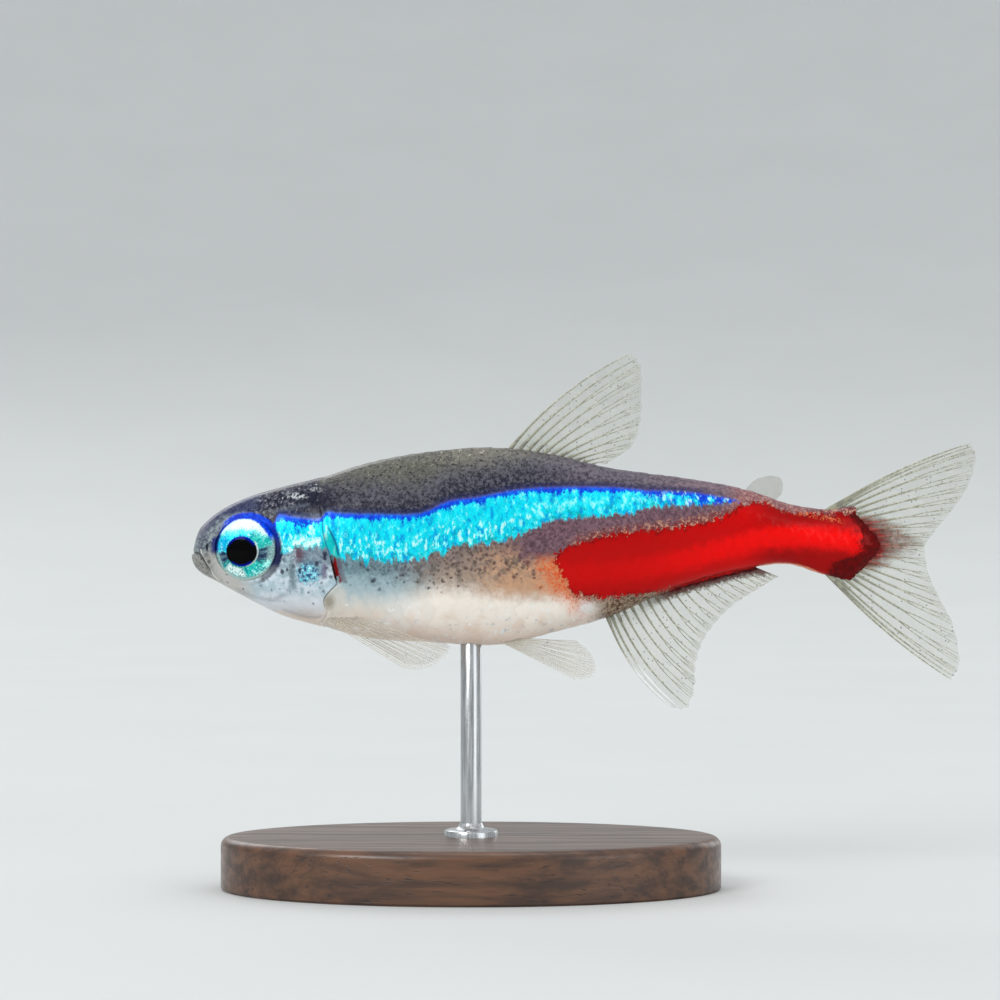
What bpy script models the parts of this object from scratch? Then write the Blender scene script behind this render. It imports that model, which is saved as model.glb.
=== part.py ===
"""Neon tetra, life size, swimming level on a plain display stand.

The row frame is in metres, +Z up. The fish faces -X with its left side towards -Y.
The origin is the centre of the stand base's underside, straight below the rod.

All shape numbers below are millimetres in the fish's own frame: x runs back from
the snout tip, z is the height over the body axis and y is sideways. `place` turns
them into the row frame.
"""

import math

import bmesh
import bpy
import numpy as np

MM = 0.001

# ---- driving dimensions, millimetres -------------------------------------------
AXIS_HEIGHT = 13.0  # body axis above the floor
GAP = 0.10  # thin cut between neighbouring solids
FIN_THICKNESS = 0.50

EYE_CENTRE = (2.19, -0.08)  # x, z of both eyes
EYE_RADIUS = 1.24
EYE_DEPTH = 0.55  # half thickness of the flattened eyeball
EYE_OUT = 1.00  # sideways distance of its centre from the mid plane
EYE_TURN = 12.0  # degrees that each eye looks forwards of straight sideways

GILL_COVER_THICKNESS = 0.50

ROD_X = 10.6  # the rod meets the belly here, close under the centre of mass
ROD_RADIUS = 0.40
ROD_IN_BODY = 1.2
ROD_IN_BASE = 1.2
BASE_LENGTH, BASE_WIDTH, BASE_HEIGHT = 19.0, 12.0, 2.0
BASE_CORNER = 0.35

TAIL_BEND_START = 14.0  # the tail swings gently to the fish's right from here
TAIL_BEND_LENGTH = 16.0
TAIL_BEND = 1.3

# One row per body station: name, top x, top z, bottom x, bottom z, half width.
STATIONS = (
    ("snout", 0.02, -0.20, 0.02, -0.20, 0.00),
    ("lips", 0.06, 0.14, 0.02, -0.52, 0.36),
    ("chin", 0.16, 0.44, 0.12, -0.76, 0.56),
    ("nostril", 0.38, 0.77, 0.38, -1.02, 0.77),
    ("eye_front", 0.99, 1.29, 0.99, -1.35, 1.05),
    ("eye", 1.60, 1.64, 1.60, -1.69, 1.22),
    ("eye_rear", 2.30, 1.93, 2.30, -2.06, 1.37),
    ("cheek", 3.42, 2.25, 3.42, -2.61, 1.55),
    ("gill", 4.80, 2.60, 4.80, -3.01, 1.68),
    ("shoulder", 6.73, 3.19, 6.73, -3.50, 1.79),
    ("breast", 9.00, 3.62, 9.00, -3.65, 1.82),
    ("belly", 11.70, 3.77, 11.70, -3.74, 1.72),
    ("dorsal", 13.79, 3.49, 13.79, -3.26, 1.54),
    ("vent", 15.90, 2.99, 15.90, -2.67, 1.32),
    ("anal", 18.39, 2.66, 18.39, -1.59, 1.08),
    ("adipose", 21.09, 2.17, 21.09, -0.87, 0.82),
    ("stalk", 22.70, 1.63, 22.70, -0.70, 0.65),
    ("stalk_end", 24.00, 1.42, 24.00, -1.08, 0.50),
    ("tail_root", 24.97, 1.38, 24.97, -1.20, 0.38),
    ("tail_plate", 25.55, 0.88, 25.55, -0.80, 0.31),
    ("tail_tip", 25.84, 0.06, 25.84, 0.02, 0.00),
)
BACK_KEEL = 1.90  # section exponent above the widest line: a slightly keeled back
BELLY_ROUND = 2.15  # below it: a full, rounded belly
HEAD_SQUARE = 0.40  # the cheeks beside the eyes are flatter by this much
HEAD_SQUARE_REACH = 2.6

# Curves in side view. The hind edge of the gill cover, from the nape to the throat.
GILL_EDGE = ((4.66, 2.75), (4.86, 1.70), (5.00, 1.10), (5.02, 0.60), (5.12, 0.16), (5.29, -0.30),
             (5.39, -0.76), (5.48, -1.14), (5.54, -1.38), (5.30, -1.64), (5.08, -1.92), (5.06, -2.20),
             (5.16, -2.46), (4.98, -2.80), (4.50, -3.30))
# The front edge of the gill cover, from its top to the throat.
GILL_FRONT = ((3.55, 1.30), (3.30, 0.60), (3.28, -0.40), (3.35, -1.30), (3.60, -2.05))
GILL_TOP = (4.20, 1.52)
GILL_BOTTOM = (4.25, -2.45)
# The mouth line and the hind edge of the lower jaw.
JAW_LINE = ((-0.50, -0.27), (0.10, -0.29), (0.44, -0.38), (0.70, -0.80), (0.99, -1.22),
            (1.42, -2.00))
TRUNK_END = ((15.10, 3.60), (15.55, -3.60))

# Fins of the mid plane: the outer edge as it is met by rays from the front of the
# base to its back, and how far each outermost ray bows forwards.
DORSAL_BASE = (12.10, 15.30)
DORSAL_EDGE = ((16.70, 7.36), (17.05, 6.90), (17.10, 6.00), (17.06, 4.80),
               (16.72, 3.82), (15.72, 3.12))
DORSAL_BOW = (0.34, 0.05)
ADIPOSE_BASE = (21.05, 22.20)
ADIPOSE_EDGE = ((21.55, 2.60), (22.00, 2.68), (22.38, 2.60), (22.48, 2.28), (22.42, 1.98))
ADIPOSE_BOW = (0.05, 0.0)
ANAL_BASE = (15.78, 21.45)
ANAL_EDGE = ((18.28, -6.16), (18.80, -6.20), (19.12, -5.45), (19.15, -4.60),
             (19.40, -3.70), (19.95, -2.88), (20.50, -2.32), (21.62, -1.58), (22.32, -1.16))
ANAL_EDGE_AT = (0.0, 0.06, 0.14, 0.24, 0.36, 0.49, 0.60, 0.80, 1.0)
ANAL_BOW = (-0.34, 0.0)
CAUDAL_UPPER_EDGE = ((29.80, 3.96), (30.00, 3.40), (29.72, 2.40), (29.22, 1.60),
                     (28.50, 0.72), (27.95, 0.06))
CAUDAL_LOWER_EDGE = ((29.00, -5.14), (29.34, -4.50), (29.12, -3.10), (28.62, -2.10),
                     (28.12, -1.05), (27.95, -0.06))
CAUDAL_BOW = (0.22, 0.0)
CAUDAL_FROM = 17.25  # station number where the tail fin's outermost rays start

# Paired fins: base line, outer edge, and how far they stand off the mid plane.
PECTORAL_BASE = ((5.55, -2.38), (5.40, -2.95))
PECTORAL_EDGE = ((9.60, -3.72), (9.80, -3.98), (9.30, -4.42), (8.70, -4.62), (8.10, -4.55))
PECTORAL_OUT, PECTORAL_SPLAY, PECTORAL_TILT = 1.06, 0.20, 0.10
PELVIC_BASE = ((11.75, -3.62), (12.45, -3.50))
PELVIC_EDGE = ((14.55, -5.04), (15.15, -4.96), (15.36, -4.62), (15.15, -4.05), (14.65, -3.62))
PELVIC_OUT, PELVIC_SPLAY, PELVIC_TILT = 0.46, 0.07, 0.24


# ---- curves --------------------------------------------------------------------
def smooth(values, at=None):
    """A smooth function from 0 to 1 through the values, or at the places given."""
    v = np.asarray(values, float)
    t = np.linspace(0, 1, len(v)) if at is None else np.asarray(at, float)
    h, d = np.diff(t), np.diff(v, axis=0).T / np.diff(t)
    inner = (d[..., :-1] * h[1:] + d[..., 1:] * h[:-1]) / (h[1:] + h[:-1])
    m = np.concatenate([d[..., :1], inner, d[..., -1:]], axis=-1).T

    def at_share(s):
        k = min(int(np.searchsorted(t, s, side="right")) - 1, len(h) - 1)
        k = max(k, 0)
        x = (s - t[k]) / h[k]
        a, b = v[k], v[k + 1]
        return (
            (1 + 2 * x) * (1 - x) ** 2 * a
            + x * (1 - x) ** 2 * h[k] * m[k]
            + x * x * (3 - 2 * x) * b
            + x * x * (x - 1) * h[k] * m[k + 1]
        )

    return at_share


STATION_COUNT = len(STATIONS) - 1
ROWS = np.array([row[1:] for row in STATIONS])
SPACING = np.concatenate([[0], np.cumsum(
    np.sqrt(np.linalg.norm(np.diff(ROWS, axis=0), axis=1)))])
SPACING /= SPACING[-1]
ALONG = smooth(ROWS, SPACING)


def station(number):
    """(top, bottom, half width) at a station number, which may be fractional."""
    k = min(int(number), STATION_COUNT - 1)
    share = SPACING[k] + (number - k) * (SPACING[k + 1] - SPACING[k])
    tx, tz, bx, bz, w = ALONG(share)
    return np.array([tx, tz]), np.array([bx, bz]), max(w, 0.0)


def outline(number, top, out):
    """The body's side outline at a station, moved out by a distance."""
    step = 0.02
    pick = 0 if top else 1
    lo, hi = max(number - step, 0), min(number + step, STATION_COUNT)
    along = station(hi)[pick] - station(lo)[pick]
    along /= np.linalg.norm(along)
    normal = np.array([-along[1], along[0]]) * (1 if top else -1)
    return station(number)[pick] + normal * out


def station_at(x, top):
    """The station number whose outline has this x."""
    lo, hi = 1.0, STATION_COUNT - 1.0
    for _ in range(40):
        middle = (lo + hi) / 2
        lo, hi = (middle, hi) if station(middle)[0 if top else 1][0] < x else (lo, middle)
    return (lo + hi) / 2


def bend(x):
    """How far the tail has swung to the fish's right at x."""
    return TAIL_BEND * max(0.0, (x - TAIL_BEND_START) / TAIL_BEND_LENGTH) ** 2


def place(x, y, z):
    """A point of the fish's frame in the row frame, in metres."""
    return ((x - ROD_X) * MM, (y + bend(x)) * MM, (z + AXIS_HEIGHT) * MM)


def power(value, exponent):
    return math.copysign(abs(value) ** exponent, value)


def body_point(number, angle, grow=0.0):
    """A point of the body's surface. grow moves it out, or in where it is negative."""
    top, bottom, width = station(number)
    centre, half = (top + bottom) / 2, (top - bottom) / 2
    c, s = math.cos(angle), math.sin(angle)
    n = BACK_KEEL if s > 0 else BELLY_ROUND
    n += HEAD_SQUARE * math.exp(-(((centre[0] - EYE_CENTRE[0]) / HEAD_SQUARE_REACH) ** 2))
    height = np.linalg.norm(half)
    direction = half / height if height > 1e-9 else np.array([0.0, 1.0])
    tall = max(height + grow, 0.0) if height > 1e-9 else 0.0
    wide = max(width + grow, 0.0) if height > 1e-9 else 0.0
    x, z = centre + direction * tall * power(s, 2 / n)
    if number < 2:
        x -= grow * (1 - number / 2)
    if number > STATION_COUNT - 2:
        x += grow * (1 - (STATION_COUNT - number) / 2)
    return x, wide * power(c, 2 / n), z


# ---- scene and helpers ---------------------------------------------------------
for old in list(bpy.data.objects):
    bpy.data.objects.remove(old, do_unlink=True)

fish = bpy.data.collections.new("neon_tetra")
cutters = bpy.data.collections.new("cutters")
bpy.context.scene.collection.children.link(fish)
bpy.context.scene.collection.children.link(cutters)
cutters.hide_render = True


def material(name, colour, roughness, metallic=0.0):
    made = bpy.data.materials.new(name)
    made.use_nodes = True
    shader = made.node_tree.nodes["Principled BSDF"]
    shader.inputs["Base Color"].default_value = (*colour, 1.0)
    shader.inputs["Roughness"].default_value = roughness
    shader.inputs["Metallic"].default_value = metallic
    return made


HEAD_SKIN = material("head_skin", (0.42, 0.50, 0.52), 0.35)
TRUNK_SKIN = material("trunk_skin", (0.10, 0.62, 0.72), 0.35)
TAIL_SKIN = material("tail_skin", (0.75, 0.02, 0.02), 0.35)
FIN_SKIN = material("fin_skin", (0.45, 0.50, 0.42), 0.40)
EYE = material("eye", (0.02, 0.25, 0.32), 0.10)
BASE_WOOD = material("base_wood", (0.12, 0.06, 0.03), 0.45)
ROD_STEEL = material("rod_steel", (0.62, 0.62, 0.62), 0.25, 1.0)


def add(name, bm, made, collection=None):
    """A named object from a bmesh, smooth but for its sharp edges."""
    bm.normal_update()
    bmesh.ops.recalc_face_normals(bm, faces=bm.faces)
    mesh = bpy.data.meshes.new(name)
    bm.to_mesh(mesh)
    bm.free()
    mesh.shade_smooth()
    mesh.set_sharp_from_angle(angle=math.radians(40))
    if made:
        mesh.materials.append(made)
    obj = bpy.data.objects.new(name, mesh)
    (collection or fish).objects.link(obj)
    if collection is cutters:
        obj.hide_render = True
        obj.display_type = "WIRE"
    return obj


def boolean(obj, other, operation):
    modifier = obj.modifiers.new(f"{operation}_{other.name}"[:60], "BOOLEAN")
    modifier.operation = operation
    modifier.solver = "EXACT"
    modifier.object = other
    return obj


def body_mesh(grow=0.0, around=24, steps_each=3, first=0.0, last=STATION_COUNT):
    """The whole body: a sphere laid along the fish, its rings moved to the stations."""
    bm = bmesh.new()
    rings = int((last - first) * steps_each)
    bmesh.ops.create_uvsphere(bm, u_segments=around, v_segments=rings, radius=1)
    for v in bm.verts:
        number = first + (last - first) * math.acos(max(-1, min(1, v.co.z))) / math.pi
        if math.hypot(v.co.x, v.co.y) < 1e-4:
            top, bottom = station(number)[:2]
            x, _, z = body_point(number, math.pi / 2, grow)
            v.co = place((x + body_point(number, -math.pi / 2, grow)[0]) / 2, 0.0, (top[1] + bottom[1]) / 2)
        else:
            v.co = place(*body_point(number, math.atan2(v.co.y, v.co.x), grow))
    return bm


def prism(name, ring, y0=-4.0, y1=4.0):
    """A cutter with this outline in side view, running from y0 to y1."""
    bm = bmesh.new()
    verts = [bm.verts.new(((x - ROD_X) * MM, y0 * MM, (z + AXIS_HEIGHT) * MM)) for x, z in ring]
    face = bm.faces.new(verts)
    moved = bmesh.ops.extrude_face_region(bm, geom=[face])["geom"]
    for v in moved:
        if isinstance(v, bmesh.types.BMVert):
            v.co.y = y1 * MM
    return add(name, bm, None, cutters)


def curve_points(points, count):
    line = smooth(points)
    return [tuple(line(i / (count - 1))) for i in range(count)]


def moved_out(points, distance):
    """The side-view line moved to its left by a distance."""
    p = np.array(points, float)
    t = np.gradient(p, axis=0)
    t /= np.linalg.norm(t, axis=1)[:, None]
    return [tuple(q) for q in p + np.stack([-t[:, 1], t[:, 0]], axis=1) * distance]


# ---- regions of the body in side view ------------------------------------------
gill_edge = curve_points(GILL_EDGE, 30)
jaw_line = curve_points(JAW_LINE, 14)
head_region = prism("head_region", [(-3, 6), (-3, -6), (gill_edge[-1][0], -6), *gill_edge[::-1],
                                    (gill_edge[0][0], 6)])
behind = moved_out(gill_edge, GAP)
trunk_region = prism("trunk_region", [(behind[0][0], 6), *behind, (behind[-1][0], -6),
                                      (TRUNK_END[1][0], -6), TRUNK_END[1], TRUNK_END[0],
                                      (TRUNK_END[0][0], 6)])
stalk_region = prism("stalk_region", [(TRUNK_END[0][0] + GAP, 6), (TRUNK_END[0][0] + GAP, 3.6),
                                      (TRUNK_END[1][0] + GAP, -3.6), (TRUNK_END[1][0] + GAP, -6),
                                      (30, -6), (30, 6)])
jaw_above = moved_out(jaw_line, GAP / 2)
jaw_below = moved_out(jaw_line, -GAP / 2)
jaw_region = prism("jaw_region", [(-3, jaw_below[0][1]), *jaw_below, (jaw_below[-1][0], -6), (-3, -6)])
jaw_room = prism("jaw_room", [(-3, jaw_above[0][1]), *jaw_above, (jaw_above[-1][0], -6), (-3, -6)])


def gill_ring(inset):
    """Outline of the gill cover. inset moves the front, top and throat edges in."""
    hind = [p for p in gill_edge if GILL_BOTTOM[1] + 0.12 < p[1] < GILL_TOP[1] - 0.12]
    path = [GILL_TOP, *GILL_FRONT, GILL_BOTTOM]
    front = curve_points(path, 20)
    middle = np.array([4.4, -0.4])
    shifted = []
    for p in front:
        away = middle - np.array(p)
        shifted.append(tuple(np.array(p) + away / np.linalg.norm(away) * inset))
    return shifted + [(x + (0.4 if inset <= 0 else 0.0), z) for x, z in hind[::-1]]


# ---- the body's solids ---------------------------------------------------------
def body_part(name, made):
    return add(name, body_mesh(), made)


head = boolean(body_part("head", HEAD_SKIN), head_region, "INTERSECT")
trunk = boolean(body_part("trunk", TRUNK_SKIN), trunk_region, "INTERSECT")
stalk = boolean(body_part("tail_stalk", TAIL_SKIN), stalk_region, "INTERSECT")
jaw = boolean(body_part("lower_jaw", HEAD_SKIN), jaw_region, "INTERSECT")
boolean(head, jaw_room, "DIFFERENCE")

for side, name in ((-1, "left"), (1, "right")):
    # The gill cover is the outer layer of the head inside its outline.
    cover = body_part(f"gill_cover_{name}", HEAD_SKIN)
    core = add(f"gill_core_{name}", body_mesh(-GILL_COVER_THICKNESS, 24, 3, 3, 12), None, cutters)
    boolean(cover, prism(f"gill_outline_{name}", gill_ring(GAP), *sorted((side * 0.2, side * 4.0))),
            "INTERSECT")
    boolean(cover, core, "DIFFERENCE")
    room = prism(f"gill_room_{name}", gill_ring(0.0), *sorted((side * 0.1, side * 4.2)))
    kept = add(f"gill_kept_{name}", body_mesh(-GILL_COVER_THICKNESS - GAP, 24, 3, 3, 12), None, cutters)
    boolean(room, kept, "DIFFERENCE")
    boolean(head, room, "DIFFERENCE")

    def eyeball(label, grow, made, collection=None, open_out=0.0):
        turn = math.radians(EYE_TURN)
        bm = bmesh.new()
        bmesh.ops.create_uvsphere(bm, u_segments=24, v_segments=14, radius=1)
        for v in bm.verts:
            a, b, depth = v.co
            a, b = a * (EYE_RADIUS + grow), b * (EYE_RADIUS + grow)
            depth = depth * (EYE_DEPTH + grow) + (open_out if depth > 0.01 else 0.0)
            x = EYE_CENTRE[0] + a * math.cos(turn) - depth * math.sin(turn)
            y = EYE_OUT + a * math.sin(turn) + depth * math.cos(turn)
            v.co = place(x, 0.0, EYE_CENTRE[1] + b)
            v.co.y = side * y * MM
        return add(label, bm, made, collection)

    eyeball(f"eye_{name}", 0.0, EYE)
    boolean(head, eyeball(f"eye_room_{name}", GAP, None, cutters, open_out=1.5), "DIFFERENCE")


# ---- fins ----------------------------------------------------------------------
def fin(name, base, edge, bows, out=None, rays=14, steps=6):
    """A fin plate: a grid whose columns are rays, from base(s) to edge(s), thickened."""
    bm = bmesh.new()
    bmesh.ops.create_grid(bm, x_segments=rays, y_segments=steps, size=0.5)
    for v in bm.verts:
        s, t = v.co.x + 0.5, v.co.y + 0.5
        a, b = np.array(base(s)), np.array(edge(s))
        ray = b - a
        bow = np.array([-ray[1], ray[0]]) / np.linalg.norm(ray)
        amount = bows[0] * (1 - s) ** 2 + bows[1] * s**2
        x, z = a + ray * t + bow * amount * 4 * t * (1 - t)
        v.co = place(x, out(x, z) if out else 0.0, z)
    obj = add(name, bm, FIN_SKIN)
    thick = obj.modifiers.new("thickness", "SOLIDIFY")
    thick.thickness = FIN_THICKNESS * MM
    thick.offset = 0
    return obj


def on_outline(ends, top, out=GAP):
    first, last = (station_at(x, top) for x in ends)
    return lambda s: outline(first + (last - first) * s, top, out)


fin("dorsal_fin", on_outline(DORSAL_BASE, True), smooth(DORSAL_EDGE), DORSAL_BOW)
fin("adipose_fin", on_outline(ADIPOSE_BASE, True), smooth(ADIPOSE_EDGE), ADIPOSE_BOW, rays=6, steps=4)
fin("anal_fin", on_outline(ANAL_BASE, False), smooth(ANAL_EDGE, ANAL_EDGE_AT), ANAL_BOW, rays=20)


def tail_base(top):
    last = STATION_COUNT - 0.06
    return lambda s: outline(CAUDAL_FROM + (last - CAUDAL_FROM) * s, top, GAP)


fin("caudal_fin_upper", tail_base(True), smooth(CAUDAL_UPPER_EDGE), CAUDAL_BOW)
fin("caudal_fin_lower", tail_base(False), smooth(CAUDAL_LOWER_EDGE), (-CAUDAL_BOW[0], 0.0))

body_room = add("body_room", body_mesh(GAP), None, cutters)
for side, name in ((-1, "left"), (1, "right")):
    pectoral = fin(f"pectoral_fin_{name}", smooth(PECTORAL_BASE), smooth(PECTORAL_EDGE), (0.0, 0.0),
                   lambda x, z: side * (PECTORAL_OUT + PECTORAL_SPLAY * (x - 5.45) + PECTORAL_TILT * (-2.7 - z)),
                   rays=9, steps=6)
    boolean(pectoral, body_room, "DIFFERENCE")
    pelvic = fin(f"pelvic_fin_{name}", smooth(PELVIC_BASE), smooth(PELVIC_EDGE), (0.0, 0.0),
                 lambda x, z: side * (PELVIC_OUT + PELVIC_SPLAY * (x - 11.8) + PELVIC_TILT * (-3.6 - z)),
                 rays=8, steps=6)
    boolean(pelvic, body_room, "DIFFERENCE")


# ---- display stand -------------------------------------------------------------
def disc(name, radius, z0, z1, made, collection=None, around=48):
    """An upright cylinder on the rod's axis, z0 to z1 in millimetres above the floor."""
    bm = bmesh.new()
    bmesh.ops.create_cone(bm, cap_ends=True, segments=around, radius1=radius * MM,
                          radius2=radius * MM, depth=(z1 - z0) * MM)
    bmesh.ops.translate(bm, verts=bm.verts, vec=(0, 0, (z0 + z1) / 2 * MM))
    return add(name, bm, made, collection)


belly_z = AXIS_HEIGHT + station(station_at(ROD_X, False))[1][1]
rod_top = belly_z + ROD_IN_BODY
disc("stand_rod", ROD_RADIUS, BASE_HEIGHT - ROD_IN_BASE, rod_top, ROD_STEEL, around=24)
boolean(trunk, disc("rod_room_body", ROD_RADIUS + GAP, belly_z - 2.0, rod_top + GAP, None, cutters, 24),
        "DIFFERENCE")

bm = bmesh.new()
bmesh.ops.create_cone(bm, cap_ends=True, segments=64, radius1=1, radius2=1, depth=BASE_HEIGHT * MM)
for v in bm.verts:
    v.co = (v.co.x * BASE_LENGTH / 2 * MM, v.co.y * BASE_WIDTH / 2 * MM, v.co.z + BASE_HEIGHT / 2 * MM)
base = add("stand_base", bm, BASE_WOOD)
rounded = base.modifiers.new("rounded_edge", "BEVEL")
rounded.width = BASE_CORNER * MM
rounded.segments = 2
rounded.limit_method = "ANGLE"
rounded.angle_limit = math.radians(60)
boolean(base, disc("rod_room_base", ROD_RADIUS + GAP / 2, BASE_HEIGHT - ROD_IN_BASE - GAP,
                   BASE_HEIGHT + 1.0, None, cutters, 24), "DIFFERENCE")
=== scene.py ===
"""The looks of the neon tetra on its display stand.

Shape numbers are millimetres in the fish's own frame, as in the solids: x runs back
from the snout tip, z is the height over the body axis and y is sideways. `place`
turns them into the row frame, in metres.
"""

import math

import bmesh
import bpy
import numpy as np
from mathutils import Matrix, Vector


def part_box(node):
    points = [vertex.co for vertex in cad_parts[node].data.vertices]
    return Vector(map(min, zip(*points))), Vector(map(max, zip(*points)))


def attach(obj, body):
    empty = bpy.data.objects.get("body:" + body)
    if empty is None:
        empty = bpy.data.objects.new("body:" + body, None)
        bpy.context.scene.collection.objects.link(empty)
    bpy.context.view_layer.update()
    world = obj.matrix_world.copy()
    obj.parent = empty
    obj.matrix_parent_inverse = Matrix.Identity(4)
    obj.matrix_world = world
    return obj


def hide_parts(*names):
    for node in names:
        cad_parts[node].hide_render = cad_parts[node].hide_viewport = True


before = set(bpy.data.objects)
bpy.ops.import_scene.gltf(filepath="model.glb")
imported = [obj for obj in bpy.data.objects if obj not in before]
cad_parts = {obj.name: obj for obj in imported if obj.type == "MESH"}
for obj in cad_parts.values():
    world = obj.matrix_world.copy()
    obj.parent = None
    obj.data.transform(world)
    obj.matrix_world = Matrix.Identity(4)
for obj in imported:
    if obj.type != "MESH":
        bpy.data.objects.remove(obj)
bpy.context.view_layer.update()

MM = 0.001
AXIS_HEIGHT = 13.0
ROD_X = 10.6
TAIL_BEND_START, TAIL_BEND_LENGTH, TAIL_BEND = 14.0, 16.0, 1.3

EYE_CENTRE = (2.19, -0.08)
EYE_RADIUS, EYE_DEPTH, EYE_OUT, EYE_TURN = 1.24, 0.55, 1.00, math.radians(12.0)
PUPIL_RADIUS = 0.60
LID_RADIUS = 1.27

COAT_DEPTH = 0.034  # the skin lies this far inside the solids under the scales

# ---- the body's form, as in the solids -------------------------------------------
STATIONS = (
    ("snout", 0.02, -0.20, 0.02, -0.20, 0.00),
    ("lips", 0.06, 0.14, 0.02, -0.52, 0.36),
    ("chin", 0.16, 0.44, 0.12, -0.76, 0.56),
    ("nostril", 0.38, 0.77, 0.38, -1.02, 0.77),
    ("eye_front", 0.99, 1.29, 0.99, -1.35, 1.05),
    ("eye", 1.60, 1.64, 1.60, -1.69, 1.22),
    ("eye_rear", 2.30, 1.93, 2.30, -2.06, 1.37),
    ("cheek", 3.42, 2.25, 3.42, -2.61, 1.55),
    ("gill", 4.80, 2.60, 4.80, -3.01, 1.68),
    ("shoulder", 6.73, 3.19, 6.73, -3.50, 1.79),
    ("breast", 9.00, 3.62, 9.00, -3.65, 1.82),
    ("belly", 11.70, 3.77, 11.70, -3.74, 1.72),
    ("dorsal", 13.79, 3.49, 13.79, -3.26, 1.54),
    ("vent", 15.90, 2.99, 15.90, -2.67, 1.32),
    ("anal", 18.39, 2.66, 18.39, -1.59, 1.08),
    ("adipose", 21.09, 2.17, 21.09, -0.87, 0.82),
    ("stalk", 22.70, 1.63, 22.70, -0.70, 0.65),
    ("stalk_end", 24.00, 1.42, 24.00, -1.08, 0.50),
    ("tail_root", 24.97, 1.38, 24.97, -1.20, 0.38),
    ("tail_plate", 25.55, 0.88, 25.55, -0.80, 0.31),
    ("tail_tip", 25.84, 0.06, 25.84, 0.02, 0.00),
)
BACK_KEEL, BELLY_ROUND = 1.90, 2.15
HEAD_SQUARE, HEAD_SQUARE_REACH = 0.40, 2.6

GILL_EDGE = ((4.66, 2.75), (4.86, 1.70), (5.00, 1.10), (5.02, 0.60), (5.12, 0.16), (5.29, -0.30),
             (5.39, -0.76), (5.48, -1.14), (5.54, -1.38), (5.30, -1.64), (5.08, -1.92), (5.06, -2.20),
             (5.16, -2.46), (4.98, -2.80), (4.50, -3.30))
GILL_X = 5.25  # the ring of skin that is bent onto the gill cover's hind edge
MOUTH_LINE = ((-0.10, -0.25), (0.20, -0.25), (0.40, -0.36), (0.62, -0.74), (0.88, -1.08))
MAXILLA_LINE = ((0.37, -0.10), (0.46, -0.34), (0.60, -0.58), (0.79, -0.92), (0.94, -1.16), (1.18, -1.36))

DORSAL_BASE = (12.10, 15.30)
DORSAL_EDGE = ((16.70, 7.36), (17.05, 6.90), (17.10, 6.00), (17.06, 4.80),
               (16.72, 3.82), (15.72, 3.12))
DORSAL_BOW = (0.34, 0.05)
ADIPOSE_BASE = (21.05, 22.20)
ADIPOSE_EDGE = ((21.55, 2.60), (22.00, 2.68), (22.38, 2.60), (22.48, 2.28), (22.42, 1.98))
ADIPOSE_BOW = (0.05, 0.0)
ANAL_BASE = (15.78, 21.45)
ANAL_EDGE = ((18.28, -6.16), (18.80, -6.20), (19.12, -5.45), (19.15, -4.60),
             (19.40, -3.70), (19.95, -2.88), (20.50, -2.32), (21.62, -1.58), (22.32, -1.16))
ANAL_EDGE_AT = (0.0, 0.06, 0.14, 0.24, 0.36, 0.49, 0.60, 0.80, 1.0)
ANAL_BOW = (-0.34, 0.0)
CAUDAL_UPPER_EDGE = ((29.80, 3.96), (30.00, 3.40), (29.72, 2.40), (29.22, 1.60),
      (28.50, 0.72), (27.95, 0.00))
CAUDAL_LOWER_EDGE = ((29.00, -5.14), (29.34, -4.50), (29.12, -3.10), (28.62, -2.10),
                     (28.12, -1.05), (27.95, 0.016))
CAUDAL_BOW = (0.22, 0.0)
CAUDAL_FROM = 17.25
PECTORAL_BASE = ((5.55, -2.38), (5.40, -2.95))
PECTORAL_EDGE = ((9.60, -3.72), (9.80, -3.98), (9.30, -4.42), (8.70, -4.62), (8.10, -4.55))
PECTORAL_OUT, PECTORAL_SPLAY, PECTORAL_TILT = 1.06, 0.20, 0.10
PELVIC_BASE = ((11.75, -3.62), (12.45, -3.50))
PELVIC_EDGE = ((14.55, -5.04), (15.15, -4.96), (15.36, -4.62), (15.15, -4.05), (14.65, -3.62))
PELVIC_OUT, PELVIC_SPLAY, PELVIC_TILT = 0.46, 0.07, 0.24


class Smooth:
    """A smooth curve through values at places from 0 to 1, read for whole arrays."""

    def __init__(self, values, at=None):
        v = np.asarray(values, float)
        self.v = v = v[:, None] if v.ndim == 1 else v
        self.t = t = np.linspace(0, 1, len(v)) if at is None else np.asarray(at, float)
        self.h = h = np.diff(t)
        d = np.diff(v, axis=0) / h[:, None]
        self.m = m = np.empty_like(v)
        m[0], m[-1] = d[0], d[-1]
        m[1:-1] = (d[:-1] * h[1:, None] + d[1:] * h[:-1, None]) / (h[1:] + h[:-1])[:, None]

    def __call__(self, s):
        s = np.asarray(s, float)
        k = np.clip(np.searchsorted(self.t, s, side="right") - 1, 0, len(self.h) - 1)
        h = self.h[k][..., None]
        x = ((s - self.t[k]) / self.h[k])[..., None]
        a, b = self.v[k], self.v[k + 1]
        return (
            (1 + 2 * x) * (1 - x) ** 2 * a + x * (1 - x) ** 2 * h * self.m[k]
            + x * x * (3 - 2 * x) * b + x * x * (x - 1) * h * self.m[k + 1]
        )


COUNT = len(STATIONS) - 1
ROWS = np.array([row[1:] for row in STATIONS])
SPACING = np.concatenate([[0], np.cumsum(np.sqrt(np.linalg.norm(np.diff(ROWS, axis=0), axis=1)))])
SPACING /= SPACING[-1]
ALONG = Smooth(ROWS, SPACING)


def station(number):
    """(top, bottom, half width) at station numbers, which may be fractional."""
    number = np.asarray(number, float)
    k = np.minimum(number.astype(int), COUNT - 1)
    share = SPACING[k] + (number - k) * (SPACING[k + 1] - SPACING[k])
    q = ALONG(share)
    return q[..., 0:2], q[..., 2:4], np.maximum(q[..., 4], 0.0)


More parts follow.
